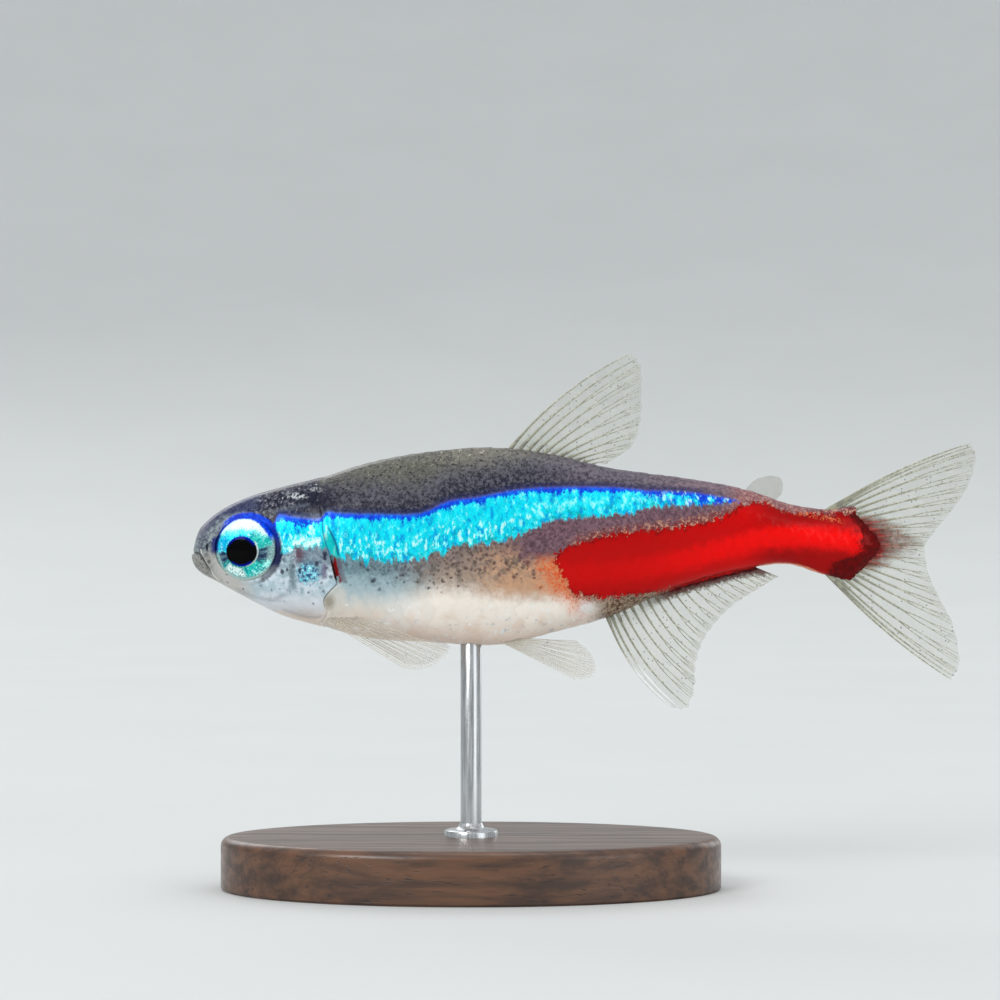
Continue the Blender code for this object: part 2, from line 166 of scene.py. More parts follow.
def power(value, exponent):
    return np.sign(value) * np.abs(value) ** exponent


def body_point(number, angle, grow=0.0):
    """Points of the body's surface as (x, y, z), in or out by `grow`."""
    number, angle = np.broadcast_arrays(np.asarray(number, float), np.asarray(angle, float))
    top, bottom, width = station(number)
    centre, half = (top + bottom) / 2, (top - bottom) / 2
    c, s = np.cos(angle), np.sin(angle)
    c = np.where(np.abs(c) < 1e-12, 0.0, c)
    n = np.where(s > 0, BACK_KEEL, BELLY_ROUND)
    n = n + HEAD_SQUARE * np.exp(-(((centre[..., 0] - EYE_CENTRE[0]) / HEAD_SQUARE_REACH) ** 2))
    height = np.linalg.norm(half, axis=-1)
    direction = half / np.maximum(height, 1e-9)[..., None]
    tall, wide = np.maximum(height + grow, 0.0), np.maximum(width + grow, 0.0)
    xz = centre + direction * (tall * power(s, 2 / n))[..., None]
    x = xz[..., 0]
    x = x - np.where(number < 2, grow * (1 - number / 2), 0.0)
    x = x + np.where(number > COUNT - 2, grow * (1 - (COUNT - number) / 2), 0.0)
    return np.stack([x, wide * power(c, 2 / n), xz[..., 1]], axis=-1)


FINE = np.linspace(0, COUNT, 4001)
FINE_MID = sum(station(FINE)[:2]) / 2


def number_at(x):
    """The station number whose section stands at x."""
    return np.interp(x, FINE_MID[:, 0], FINE)


def side_y(x, z):
    """The body's half width at (x, z) in side view."""
    top, bottom, width = station(number_at(x))
    centre, half = (top[..., 1] + bottom[..., 1]) / 2, (top[..., 1] - bottom[..., 1]) / 2
    n = np.where(z > centre, BACK_KEEL, BELLY_ROUND)
    n = n + HEAD_SQUARE * np.exp(-(((x - EYE_CENTRE[0]) / HEAD_SQUARE_REACH) ** 2))
    return width * np.maximum(1 - np.abs((z - centre) / half) ** n, 0.0) ** (1 / n)


def bend(x):
    return TAIL_BEND * np.maximum(0.0, (x - TAIL_BEND_START) / TAIL_BEND_LENGTH) ** 2


def place(p):
    """Points of the fish's frame in the row frame, in metres."""
    p = np.asarray(p, float)
    return np.stack([p[..., 0] - ROD_X, p[..., 1] + bend(p[..., 0]), p[..., 2] + AXIS_HEIGHT], axis=-1) * MM


def ease(a, b, v):
    t = np.clip((v - a) / (b - a), 0, 1)
    return t * t * (3 - 2 * t)


def line_distance(x, z, points, count=60):
    """(distance, share along) from points in side view to a smooth line."""
    line = Smooth(points)(np.linspace(0, 1, count))
    best = np.full(np.shape(x), 1e9)
    share = np.zeros(np.shape(x))
    for i in range(count - 1):
        a, d = line[i], line[i + 1] - line[i]
        t = np.clip(((x - a[0]) * d[0] + (z - a[1]) * d[1]) / (d @ d), 0, 1)
        r = np.hypot(x - a[0] - t * d[0], z - a[1] - t * d[1])
        nearer = r < best
        best = np.where(nearer, r, best)
        share = np.where(nearer, (i + t) / (count - 1), share)
    return best, share


# ---- meshes ----------------------------------------------------------------------
def grid_faces(rows, columns, wrap=False, start=0):
    """Quads between rows x columns points, the columns closing on themselves if wrapped."""
    r, c = np.meshgrid(np.arange(rows - 1), np.arange(columns if wrap else columns - 1), indexing="ij")
    a, b = r * columns + c, r * columns + (c + 1) % columns
    return (np.stack([a, b, b + columns, a + columns], axis=-1).reshape(-1, 4) + start)


def make(name, points, faces, made, uvs=None, fields=None, sharp=50.0, smooth=True):
    """A mesh object from points in the fish's frame. uvs and fields are one value for each point."""
    mesh = bpy.data.meshes.new(name)
    faces = [np.asarray(f) for f in (faces if isinstance(faces, list) else [faces])]
    flat = np.concatenate([f.reshape(-1) for f in faces]).astype(np.int32)
    sizes = np.concatenate([np.full(len(f), f.shape[1]) for f in faces])
    mesh.vertices.add(len(points))
    mesh.vertices.foreach_set("co", np.asarray(points, np.float32).ravel())
    mesh.loops.add(len(flat))
    mesh.loops.foreach_set("vertex_index", flat)
    mesh.polygons.add(len(sizes))
    mesh.polygons.foreach_set("loop_start", np.concatenate([[0], np.cumsum(sizes)[:-1]]).astype(np.int32))
    mesh.update(calc_edges=True)
    mesh.validate()
    if uvs is not None:
        layer = mesh.uv_layers.new(name="OFBake")
        layer.data.foreach_set("uv", np.asarray(uvs, np.float32)[flat].ravel())
    for key, values in (fields or {}).items():
        field = mesh.attributes.new(key, "FLOAT", "POINT")
        field.data.foreach_set("value", np.asarray(values, np.float32))
    if smooth:
        mesh.shade_smooth()
        if sharp:
            mesh.set_sharp_from_angle(angle=math.radians(sharp))
    mesh.materials.append(made)
    obj = bpy.data.objects.new(name, mesh)
    bpy.context.scene.collection.objects.link(obj)
    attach(obj, "root")
    return obj


# ---- shader building -------------------------------------------------------------
def rgb(r, g, b):
    """Linear colour from screen values, 0 to 255."""
    return tuple(((v / 255 + 0.055) / 1.055) ** 2.4 if v > 10 else v / 255 / 12.92 for v in (r, g, b)) + (1.0,)


class Val:
    """A socket that takes part in sums."""

    def __init__(self, g, socket):
        self.g, self.s = g, socket

    def __add__(self, o): return self.g.math("ADD", self, o)
    def __radd__(self, o): return self.g.math("ADD", o, self)
    def __sub__(self, o): return self.g.math("SUBTRACT", self, o)
    def __rsub__(self, o): return self.g.math("SUBTRACT", o, self)
    def __mul__(self, o): return self.g.math("MULTIPLY", self, o)
    def __rmul__(self, o): return self.g.math("MULTIPLY", o, self)
    def __truediv__(self, o): return self.g.math("DIVIDE", self, o)
    def __neg__(self): return self.g.math("MULTIPLY", self, -1.0)


class Graph:
    def __init__(self, name, **settings):
        self.material = bpy.data.materials.new(name)
        self.material.use_nodes = True
        self.tree = self.material.node_tree
        self.shader = self.tree.nodes["Principled BSDF"]
        for key, value in settings.items():
            self.shader.inputs[key.replace("_", " ")].default_value = value

    def node(self, kind, **props):
        made = self.tree.nodes.new(kind)
        for key, value in props.items():
            setattr(made, key, value)
        return made

    def put(self, socket, value):
        if isinstance(value, Val):
            self.tree.links.new(value.s, socket)
        else:
            socket.default_value = value

    def math(self, operation, a, b=0.0, c=0.0, clamp=False):
        n = self.node("ShaderNodeMath", operation=operation, use_clamp=clamp)
        for socket, value in zip(n.inputs, (a, b, c)):
            self.put(socket, value)
        return Val(self, n.outputs[0])

    def less(self, a, b): return self.math("LESS_THAN", a, b)
    def most(self, a, b): return self.math("MAXIMUM", a, b)
    def least(self, a, b): return self.math("MINIMUM", a, b)
    def power(self, a, b): return self.math("POWER", a, b)
    def absolute(self, a): return self.math("ABSOLUTE", a)

    def ease(self, a, b, v, lo=0.0, hi=1.0):
        n = self.node("ShaderNodeMapRange", interpolation_type="SMOOTHSTEP")
        flip = not isinstance(a, Val) and not isinstance(b, Val) and a > b
        for socket, value in zip(n.inputs, (v, b if flip else a, a if flip else b, hi if flip else lo, lo if flip else hi)):
            self.put(socket, value)
        return Val(self, n.outputs[0])

    def ramp(self, a, b, v, lo=0.0, hi=1.0):
        n = self.node("ShaderNodeMapRange", interpolation_type="LINEAR", clamp=True)
        for socket, value in zip(n.inputs, (v, a, b, lo, hi)):
            self.put(socket, value)
        return Val(self, n.outputs[0])

    def curve(self, x, points):
        """A smooth function of x through (x, value) points."""
        xs, ys = zip(*points)
        x0, x1, y0, y1 = min(xs), max(xs), min(ys), max(ys)
        y1 = y1 if y1 > y0 else y0 + 1
        n = self.node("ShaderNodeFloatCurve")
        line = n.mapping.curves[0]
        where = [((px - x0) / (x1 - x0), (py - y0) / (y1 - y0)) for px, py in points]
        line.points[0].location, line.points[-1].location = where[0], where[-1]
        for at in where[1:-1]:
            line.points.new(*at)
        n.mapping.update()
        self.put(n.inputs[1], (x - x0) / (x1 - x0))
        return Val(self, n.outputs[0]) * (y1 - y0) + y0

    def attribute(self, name):
        return Val(self, self.node("ShaderNodeAttribute", attribute_name=name).outputs["Fac"])

    def spot(self):
        """Object position in millimetres, as a vector and its three parts."""
        n = self.node("ShaderNodeTexCoord")
        v = self.node("ShaderNodeVectorMath", operation="SCALE")
        self.tree.links.new(n.outputs["Object"], v.inputs[0])
        v.inputs["Scale"].default_value = 1000.0
        s = self.node("ShaderNodeSeparateXYZ")
        self.tree.links.new(v.outputs[0], s.inputs[0])
        return Val(self, v.outputs[0]), *(Val(self, o) for o in s.outputs)

    def vector(self, x, y, z):
        n = self.node("ShaderNodeCombineXYZ")
        for socket, value in zip(n.inputs, (x, y, z)):
            self.put(socket, value)
        return Val(self, n.outputs[0])

    def noise(self, vec, scale, detail=3.0, rough=0.55, distortion=0.0):
        n = self.node("ShaderNodeTexNoise")
        self.put(n.inputs["Vector"], vec)
        for key, value in (("Scale", scale), ("Detail", detail), ("Roughness", rough), ("Distortion", distortion)):
            n.inputs[key].default_value = value
        return Val(self, n.outputs[0])

    def cells(self, vec, scale, feature="F1", random=1.0):
        """(distance to the cell's middle, a random number of the cell)"""
        n = self.node("ShaderNodeTexVoronoi", feature=feature)
        self.put(n.inputs["Vector"], vec)
        n.inputs["Scale"].default_value = scale
        n.inputs["Randomness"].default_value = random
        s = self.node("ShaderNodeSeparateColor")
        if "Color" in n.outputs and n.outputs["Color"].enabled:
            self.tree.links.new(n.outputs["Color"], s.inputs[0])
        return Val(self, n.outputs["Distance"]), Val(self, s.outputs[0]), Val(self, s.outputs[1])

    def wavered(self, vec, scale, amount):
        """The vector moved about by up to amount, so that what it draws is never quite round or straight."""
        n = self.node("ShaderNodeTexNoise")
        self.put(n.inputs["Vector"], vec)
        n.inputs["Scale"].default_value, n.inputs["Detail"].default_value = scale, 1.0
        m = self.node("ShaderNodeVectorMath", operation="MULTIPLY_ADD")
        self.tree.links.new(n.outputs["Color"], m.inputs[0])
        m.inputs[1].default_value, m.inputs[2].default_value = (2 * amount,) * 3, (-amount,) * 3
        a = self.node("ShaderNodeVectorMath", operation="ADD")
        self.tree.links.new(m.outputs[0], a.inputs[0])
        self.put(a.inputs[1], vec)
        return Val(self, a.outputs[0])

    def blend(self, a, b, share, mode="MIX"):
        n = self.node("ShaderNodeMix", data_type="RGBA", blend_type=mode)
        n.clamp_factor = True
        self.put(n.inputs[0], share)
        self.put(n.inputs[6], a)
        self.put(n.inputs[7], b)
        return Val(self, n.outputs[2])

    def bump(self, height, distance, strength=1.0):
        n = self.node("ShaderNodeBump")
        n.inputs["Strength"].default_value = strength
        n.inputs["Distance"].default_value = distance
        self.put(n.inputs["Height"], height)
        return Val(self, n.outputs[0])

    def finish(self, **sockets):
        for key, value in sockets.items():
            self.put(self.shader.inputs[key.replace("_", " ")], value)
        return self.material


# ---- the fish's colours, shared by its skin, its scales and the fins' roots -------
STRIPE_TOP = ((2.9, 0.60), (3.12, 0.78), (3.30, 1.08), (3.42, 1.24), (3.9, 1.16), (4.4, 1.09), (4.78, 1.06), (5.02, 1.14), (5.25, 1.33), (5.7, 1.29), (7.14, 1.25), (8.36, 1.24), (8.97, 1.38),
              (9.88, 1.76), (10.79, 1.88), (11.70, 2.06), (12.60, 2.19), (13.49, 2.25), (15.96, 2.25),
              (17.18, 2.15), (18.09, 2.12), (19.0, 2.06), (19.89, 1.93), (20.75, 1.74))
STRIPE_LOW = ((3.0, -0.22), (3.55, -0.26), (3.88, -0.20), (4.12, 0.02), (4.50, -0.07), (4.92, -0.05), (5.12, -0.10), (5.45, -0.40), (6.12, -0.50), (7.03, -0.53), (8.59, -0.48),
              (9.58, -0.18), (10.79, 0.12), (11.5, 0.14), (12.29, 0.43), (13.19, 0.76), (13.8, 1.00),
              (15.31, 1.12), (16.76, 1.31), (17.78, 1.48), (19.89, 1.58), (20.75, 1.72))
RED_TOP = ((11.6, 0.22), (13.4, -0.28), (14.4, 0.10), (15.62, 0.38), (16.87, 0.58), (18.09, 0.72), (19.0, 0.86),
           (19.89, 1.08), (20.5, 1.34), (21.1, 1.66), (21.7, 1.62), (22.5, 1.36), (24.2, 1.20), (25.0, 1.30), (26.5, 1.2))
RED_LOW = ((13.5, -0.85), (14.1, -1.30), (14.7, -1.82), (15.66, -1.93), (16.57, -1.86), (17.48, -1.74),
           (18.39, -1.62), (19.3, -1.42), (20.2, -1.20), (21.1, -1.00), (22.3, -0.95), (24.0, -1.30), (26.5, -1.3))


def markings(g):
    """(colour, metal, roughness, height) by place on the fish."""
    p, px, py, pz = g.spot()
    x, z = px + ROD_X, pz - AXIS_HEIGHT
    warp = g.wavered(p, 11.0, 0.05)
    rough_edge = g.noise(p, 3.2, 3, 0.7) - 0.5
    fine_edge = g.noise(p, 12.0, 2, 0.65) - 0.5
    grain = g.noise(p, 24.0, 2, 0.65)
    patchy = g.noise(p, 2.4, 2, 0.6)
    speck = g.noise(warp, 7.2, 3, 0.75)

    # Dark pigment cells: large and small dots, each with its own crowd.
    d1, r1, q1 = g.cells(warp, 3.8)
    d2, r2, q2 = g.cells(warp, 6.4)
    d1, d2 = d1 / (q1 * 0.7 + 0.65), d2 / (q2 * 0.7 + 0.65)

    def dots(distance, chance, crowd, size):
        return g.ease(size, size * 0.62, distance) * g.less(chance, crowd)

    stripe_top = g.curve(x, STRIPE_TOP)
    stripe_low = g.curve(x, STRIPE_LOW)
    red_top = g.curve(x, RED_TOP)
    red_low = g.curve(x, RED_LOW)
    over = z - stripe_top

    # Back: brown-grey, peppered with dark cells, darkest and bluest just over the stripe,
    # paler and yellower on the ridge, plainer and more mauve behind the back fin,
    # with painted glints: pale specks standing in for highlights over the back and along the ridge.
    behind = g.ease(12.2, 15.5, x)
    pale = g.blend(rgb(92, 91, 102), g.blend(rgb(102, 102, 93), rgb(122, 119, 107), g.ease(8.6, 11.2, x)), g.ease(0.6, 1.8, over + rough_edge * 0.9))
    pale = g.blend(pale, rgb(112, 104, 114), behind * 0.85)
    dark = g.blend(rgb(32, 33, 50), rgb(64, 62, 58), g.ease(0.2, 1.7, over))
    dark = g.blend(dark, rgb(74, 67, 80), behind * 0.85)
    share = g.ease(0.39, 0.60, speck + g.ease(0.0, 1.5, over, -0.045, 0.055) + rough_edge * 0.12 + behind * 0.03)
    back = g.blend(dark, pale, share)
    back = g.blend(back, rgb(20, 20, 36), dots(d2, r2, g.ease(16.0, 11.5, x, 0.22, 0.62), 0.31) * 0.78)
    # painted glints: pale specks standing in for highlights on the back
    glint = g.ease(0.60, 0.70, g.noise(warp, 8.0, 2, 0.5)) * g.ease(0.35, 1.7, over)
    back = g.blend(back, rgb(182, 178, 160), glint * 0.40)
    back = g.blend(back, g.blend(rgb(92, 76, 88), rgb(136, 112, 120), g.ease(0.36, 0.62, speck)), g.ease(16.5, 19.5, x + rough_edge * 2.0) * 0.8)
    # painted glints: white specks along the ridge standing in for highlights
    ridge = g.ease(8.0, 9.5, x) * g.ease(1.30, 1.75, over + g.ease(12.0, 19.0, x) * 1.0)
    back = g.blend(back, rgb(214, 210, 194), ridge * g.ease(0.60, 0.68, g.noise(p, 6.0, 3, 0.7)) * 0.75)
    nape = g.ease(0.85, 0.20, g.power(g.power((x - 4.80) * 0.70, 2.0) + g.power((z - 1.72) * 1.05, 2.0), 0.5) + fine_edge * 0.6 + rough_edge * 0.3)
    back = g.blend(back, rgb(16, 17, 40), nape * 0.75)

    # Flank under the stripe: blue-grey at the shoulder, brown-grey further back, its
    # dark cells thinning out down to a smooth cream belly.
    low = z + rough_edge * 0.7
    shoulder = g.ease(9.8, 7.2, x + rough_edge * 1.5)
    flank = g.blend(rgb(176, 156, 138), rgb(138, 172, 182), shoulder)
    near = g.ease(1.15, 0.05, stripe_low - low)
    flank = g.blend(flank, g.blend(rgb(104, 92, 98), rgb(92, 112, 122), shoulder), near * g.ease(0.70, 0.40, speck) * 0.95)
    belly = g.blend(rgb(252, 243, 232), rgb(222, 230, 234), g.ease(9.5, 6.2, x + rough_edge * 2.0) * 0.65)
    belly = g.blend(belly, rgb(248, 222, 204), g.ease(-2.7, -3.5, z) * 0.55)
    under = g.blend(flank, belly, g.ease(-1.00, -2.05, low + shoulder * 0.30 + g.ease(9.5, 12.5, x) * 0.30))
    under = g.blend(under, rgb(176, 196, 202), shoulder * g.ease(-0.9, -1.3, low) * g.ease(-2.8, -1.5, low + (x - 7.0) * -0.12) * 0.65)
    under = g.blend(under, rgb(228, 212, 194), g.ease(-1.5, -2.6, z + rough_edge * 0.9) * g.ease(8.4, 6.4, x) * 0.6)
    warm = g.ease(10.2, 12.2, x + rough_edge * 1.6) * g.ease(-2.2, -1.4, low) * g.ease(0.1, -0.5, z - stripe_low)
    under = g.blend(under, rgb(216, 160, 118), warm * 0.68)
    crowd = g.ease(-1.75, -0.35, low - g.ease(9.5, 12.5, x) * 0.15, 0.0, 1.0) * g.ease(6.0, 8.0, x, 0.55, 0.95)
    smoke = g.ease(0.46, 0.64, g.noise(warp, 3.6, 3, 0.7)) * crowd
    under = g.blend(under, g.blend(rgb(128, 106, 96), rgb(104, 124, 132), shoulder), smoke * 0.75)
    mottled = g.ease(0.40, 0.60, g.noise(warp, 6.5, 4, 0.75)) * g.ease(-2.0, -1.1, low - g.ease(9.5, 12.5, x) * 0.15) * g.ease(5.9, 6.8, x)
    under = g.blend(under, g.blend(rgb(134, 118, 112), rgb(112, 128, 136), shoulder), mottled * 0.45)
    blotch = g.ease(0.53, 0.62, g.noise(warp, 3.4, 3, 0.6)) * g.ease(-1.7, -1.0, low - g.ease(9.5, 12.5, x) * 0.15) * g.ease(6.0, 7.0, x)
    under = g.blend(under, g.blend(rgb(92, 88, 78), rgb(76, 90, 98), shoulder), blotch * 0.66)
    soft_dot = g.ease(0.50, 0.10, d2) * g.less(r2, crowd * 1.1)
    under = g.blend(under, g.blend(rgb(92, 72, 70), rgb(78, 92, 100), shoulder), soft_dot * 0.85)
    soft_dot = g.ease(0.40, 0.10, d1) * g.less(r1, crowd * 0.9)
    under = g.blend(under, g.blend(rgb(78, 52, 54), rgb(52, 64, 76), shoulder), soft_dot * 0.82)
    under = g.blend(under, rgb(126, 150, 166), dots(d1, r1, 0.07, 0.22) * g.ease(-2.1, -2.7, z) * 0.30)
    low_down = g.ease(-2.2, -2.7, z)
    under = g.blend(under, rgb(240, 214, 194), low_down * g.ease(0.48, 0.66, g.noise(p, 1.3, 2, 0.6)) * 0.45)
    under = g.blend(under, rgb(158, 176, 194), low_down * g.ease(-3.5, -3.2, z) * g.ease(8.0, 9.0, x) * g.ease(0.60, 0.72, g.noise(warp, 3.8, 2, 0.6)) * 0.42)
    # painted highlights: white specks on the lower flank and belly standing in for glints
    under = g.blend(under, rgb(255, 255, 253), g.ease(-1.9, -2.4, z) * g.ease(0.62, 0.68, g.noise(p, 3.0, 2, 0.6)) * 0.8)
    body = g.blend(under, back, g.ease(-0.12, 0.12, over + fine_edge * 0.2))

    # Mauve band between the two stripes, its lower edge frayed with pale grains.
    band = g.ease(11.5, 12.9, x + rough_edge * 1.4) * g.ease(0.15, -0.15, over) * g.ease(-0.50, 0.05, z - red_top + rough_edge * 0.6)
    mauve = g.blend(rgb(84, 60, 70), rgb(128, 98, 108), g.ease(0.34, 0.64, speck))
    mauve = g.blend(mauve, rgb(58, 42, 60), dots(d2, r2, 0.30, 0.27) * 0.5)
    body = g.blend(body, mauve, band)

    # Red hind flank: dark and frayed along its edges, glowing along its middle.
    fringe = g.noise(g.vector(px * 6.0, py * 2.0, pz * 1.6), 1.0, 3, 0.7) - 0.5
    in_red = g.least(red_top - z, z - red_low) + fine_edge * 0.45 + rough_edge * 0.30 + fringe * 0.55
    front = x - 13.72 - g.ease(-0.3, -1.9, z) * 0.55 + rough_edge * 0.9 + fine_edge * 0.5
    in_red = g.least(in_red, front)
    red = g.ease(-0.03, 0.05, in_red)
    halo = g.ease(-1.25, -0.1, in_red + rough_edge * 0.5) * g.ease(12.2, 13.2, x)
    orange = halo * g.ease(15.6, 14.0, x) * g.ease(-0.10, -0.75, z)
    body = g.blend(body, rgb(224, 130, 74), orange * 0.70)
    crumbs = g.ease(0.47, 0.58, g.noise(p, 10.0, 3, 0.75))
    body = g.blend(body, rgb(224, 70, 16), orange * crumbs * 0.85)
    fray = g.ease(-0.40, -0.02, in_red) * g.ease(13.8, 15.0, x)
    body = g.blend(body, g.blend(rgb(122, 46, 44), rgb(214, 158, 130), g.ease(0.48, 0.60, g.noise(p, 7.5, 3, 0.7))), fray * 0.80)
    core = g.ease(-0.04, 0.20, in_red + (patchy - 0.5) * 0.5)
    deep = g.blend(rgb(196, 0, 0), rgb(210, 0, 0), g.ease(17.0, 20.5, x) * g.ease(22.6, 21.2, x))
    deep = g.blend(deep, rgb(168, 0, 0), g.ease(20.8, 22.4, x))
    redness = g.blend(rgb(146, 0, 0), deep, core)
    glow = z - g.curve(x, ((13.0, -1.1), (16.0, -0.95), (18.5, -0.55), (20.6, 0.0), (22.5, 0.35), (25.5, 0.15)))
    redness = g.blend(redness, rgb(250, 2, 0), g.ease(0.66, 0.14, g.absolute(glow) + rough_edge * 0.5) * g.ease(15.5, 21.0, x, 0.30, 1.0))
    redness = g.blend(redness, rgb(78, 2, 8), dots(d2, r2, 0.4, 0.30) * g.ease(0.26, 0.0, in_red) * 0.7)
    cap = g.ease(25.20, 25.60, x + fine_edge * 0.7 + rough_edge * 0.6 + g.ease(0.45, 1.3, z - 0.1) * 0.55 + g.ease(0.25, 0.9, 0.1 - z) * 1.15)
    redness = g.blend(redness, g.blend(rgb(78, 0, 0), rgb(112, 0, 0), g.ease(0.34, 0.66, speck)), cap * 0.97)
    body = g.blend(body, redness, red)
    # rim of the tail stalk: pinkish brown over the red, a pale orange line under it
    rim = g.ease(20.0, 21.2, x) * g.ease(0.0, -0.10, in_red) * g.ease(23.7, 23.1, x + rough_edge)
    beads = g.ease(0.42, 0.66, g.noise(p, 9.0, 3, 0.65))
    body = g.blend(body, g.blend(rgb(130, 82, 86), rgb(178, 138, 132), beads), rim * g.ease(-0.2, 0.3, z))
    belly_line = g.curve(x, ((15.9, -2.67), (17.2, -2.10), (18.39, -1.59), (19.8, -1.19), (20.7, -0.965), (21.09, -0.87), (21.6, -0.765), (22.1, -0.70), (22.7, -0.70), (23.3, -0.82), (24.0, -1.08), (24.6, -1.19)))
    body = g.blend(body, rgb(240, 152, 118), g.ease(0.085, 0.035, z - belly_line + fine_edge * 0.08) * g.ease(21.4, 21.7, x) * g.ease(24.2, 23.7, x) * 0.9)
    embers = g.ease(0.15, 0.03, g.absolute(z - 1.27 + (x - 23.1) * 0.20)) * g.ease(22.8, 23.1, x) * g.ease(24.9, 24.5, x)
    body = g.blend(body, rgb(226, 118, 74), embers * g.ease(0.50, 0.58, g.noise(p, 11.0, 2, 0.7)) * 0.85)
    keel = g.ease(14.8, 15.9, x) * g.ease(0.02, -0.08, in_red) * g.ease(0.0, -0.6, z) * g.ease(18.8, 17.8, x)
    body = g.blend(body, g.blend(rgb(92, 66, 52), rgb(172, 150, 126), g.ease(0.40, 0.60, speck)), keel)
    sheath = g.ease(0.04, -0.03, z - belly_line + fine_edge * 0.14) * g.ease(17.2, 18.4, x + rough_edge) * g.ease(22.2, 22.0, x)
    body = g.blend(body, g.blend(rgb(46, 2, 4), rgb(104, 14, 14), g.ease(0.38, 0.62, speck)), sheath)
    body = g.blend(body, rgb(30, 20, 26), dots(d2, r2, 0.75, 0.32) * keel * 0.85)
    vent = g.ease(0.40, 0.06, g.power(g.power((x - 14.95) * 0.8, 2.0) + g.power(z + 2.32, 2.0), 0.5) + fine_edge * 0.5)
    body = g.blend(body, rgb(232, 238, 242), vent * g.ease(0.40, 0.58, grain, 0.25, 0.85))

    # Head: silvery cheek and gill cover, grey snout, dark peppered crown.
    ex, ez = x - EYE_CENTRE[0], z - EYE_CENTRE[1]
    eye_r = g.power(g.power(ex, 2.0) + g.power(ez, 2.0), 0.5)
    hair = g.noise(g.vector(px * 9.5, py * 8.0, pz * 6.0), 1.0, 3, 0.65)
    silver = g.blend(rgb(176, 198, 208), rgb(214, 226, 236), g.ease(0.36, 0.62, patchy))
    silver = g.blend(silver, rgb(134, 162, 172), g.ease(0.53, 0.68, g.noise(p, 4.0, 3, 0.65)) * 0.65)
    silver = g.blend(silver, rgb(226, 228, 234), g.ease(-1.5, -2.2, low) * 0.8)
    silver = g.blend(silver, rgb(232, 218, 206), g.ease(-2.2, -2.7, low) * g.ease(2.5, 3.5, x) * 0.8)
    snout = g.blend(rgb(78, 86, 102), rgb(142, 152, 156), g.ease(0.38, 0.62, speck + g.ease(0.5, 0.1, x) * 0.08))
    jaw = g.blend(rgb(116, 118, 116), rgb(164, 162, 156), g.ease(0.36, 0.62, speck + g.ease(0.6, 1.7, x) * 0.20))
    jaw = g.blend(jaw, rgb(212, 210, 206), g.ease(0.5, 1.4, x) * 0.75)
    snout = g.blend(snout, jaw, g.ease(-0.05, -0.55, z + rough_edge * 0.4 - x * 0.12))
    silver = g.blend(silver, snout, g.ease(2.1, 1.2, x - g.ease(-0.4, -1.6, z) * 0.6 + rough_edge * 0.5))
    crown = g.blend(rgb(14, 16, 36), rgb(102, 104, 116), g.ease(0.43, 0.64, hair + rough_edge * 0.15))
    crown = g.blend(crown, rgb(206, 206, 200), g.ease(0.62, 0.70, hair) * 0.75)
    brow = g.blend(rgb(26, 32, 76), rgb(84, 94, 120), g.ease(0.40, 0.70, speck))
    crown = g.blend(crown, brow, g.ease(3.0, 2.2, x) * 0.85)
    crown = g.blend(crown, g.blend(rgb(92, 96, 112), rgb(150, 152, 160), speck), g.ease(1.1, 0.2, x) * 0.85)
    crown = g.blend(crown, rgb(150, 148, 150), g.ease(1.62, 1.86, z - (x - 1.6) * 0.34) * g.ease(4.0, 2.5, x) * 0.55)
    crown_line = g.curve(x, ((-0.5, 0.20), (0.4, 0.42), (1.0, 0.98), (1.6, 1.20), (2.2, 1.20), (2.7, 0.95), (3.05, 0.60), (3.3, 0.72), (3.7, 1.12), (5.0, 1.16), (6.0, 1.16)))
    head = g.blend(silver, crown, g.ease(-0.20, 0.16, z - crown_line + rough_edge * 0.4))
    peppered = g.ease(-1.9, -0.5, z) * g.ease(3.0, 3.8, x)
    cloud = g.ease(0.42, 0.62, g.noise(warp, 3.2, 3, 0.7)) * g.ease(-1.7, -0.2, z) * g.ease(3.1, 3.6, x)
    head = g.blend(head, rgb(96, 114, 128), cloud * g.ease(1.2, 0.8, z) * 0.85)
    head = g.blend(head, rgb(44, 50, 68), g.ease(0.40, 0.08, d1) * g.less(r1, peppered * 0.45 + 0.06) * 0.8)
    head = g.blend(head, rgb(72, 82, 98), g.ease(0.46, 0.10, d2) * g.less(r2, peppered * 0.55 + 0.06) * 0.7)
    jaw_dots = g.ease(0.36, 0.16, d1) * g.less(r1, 0.55) * g.ease(1.5, 0.9, x) * g.ease(-0.3, -0.6, z)
    head = g.blend(head, rgb(44, 46, 50), jaw_dots * 0.75)
    lower_edge_of_cover = g.ease(0.05, -0.10, z + 2.62 + (x - 4.3) * 0.17 + rough_edge * 0.15) * g.ease(2.6, 3.4, x)
    head = g.blend(head, rgb(232, 216, 200), lower_edge_of_cover * 0.85)
    head = g.blend(head, rgb(14, 15, 36), nape * 0.8)
    # painted highlights: two white spots on the nape standing in for glints of light
    for glint_x, glint_z, wide in ((4.03, 1.91, 0.24), (4.86, 2.15, 0.20)):
        spot = g.ease(wide, wide * 0.4, g.power(g.power((x - glint_x) * 0.45 + (z - glint_z) * 0.3, 2.0) + g.power((z - glint_z) * 1.5, 2.0), 0.5))
        head = g.blend(head, rgb(226, 232, 234), spot * g.ease(0.38, 0.68, hair + fine_edge * 0.4) * 0.8)
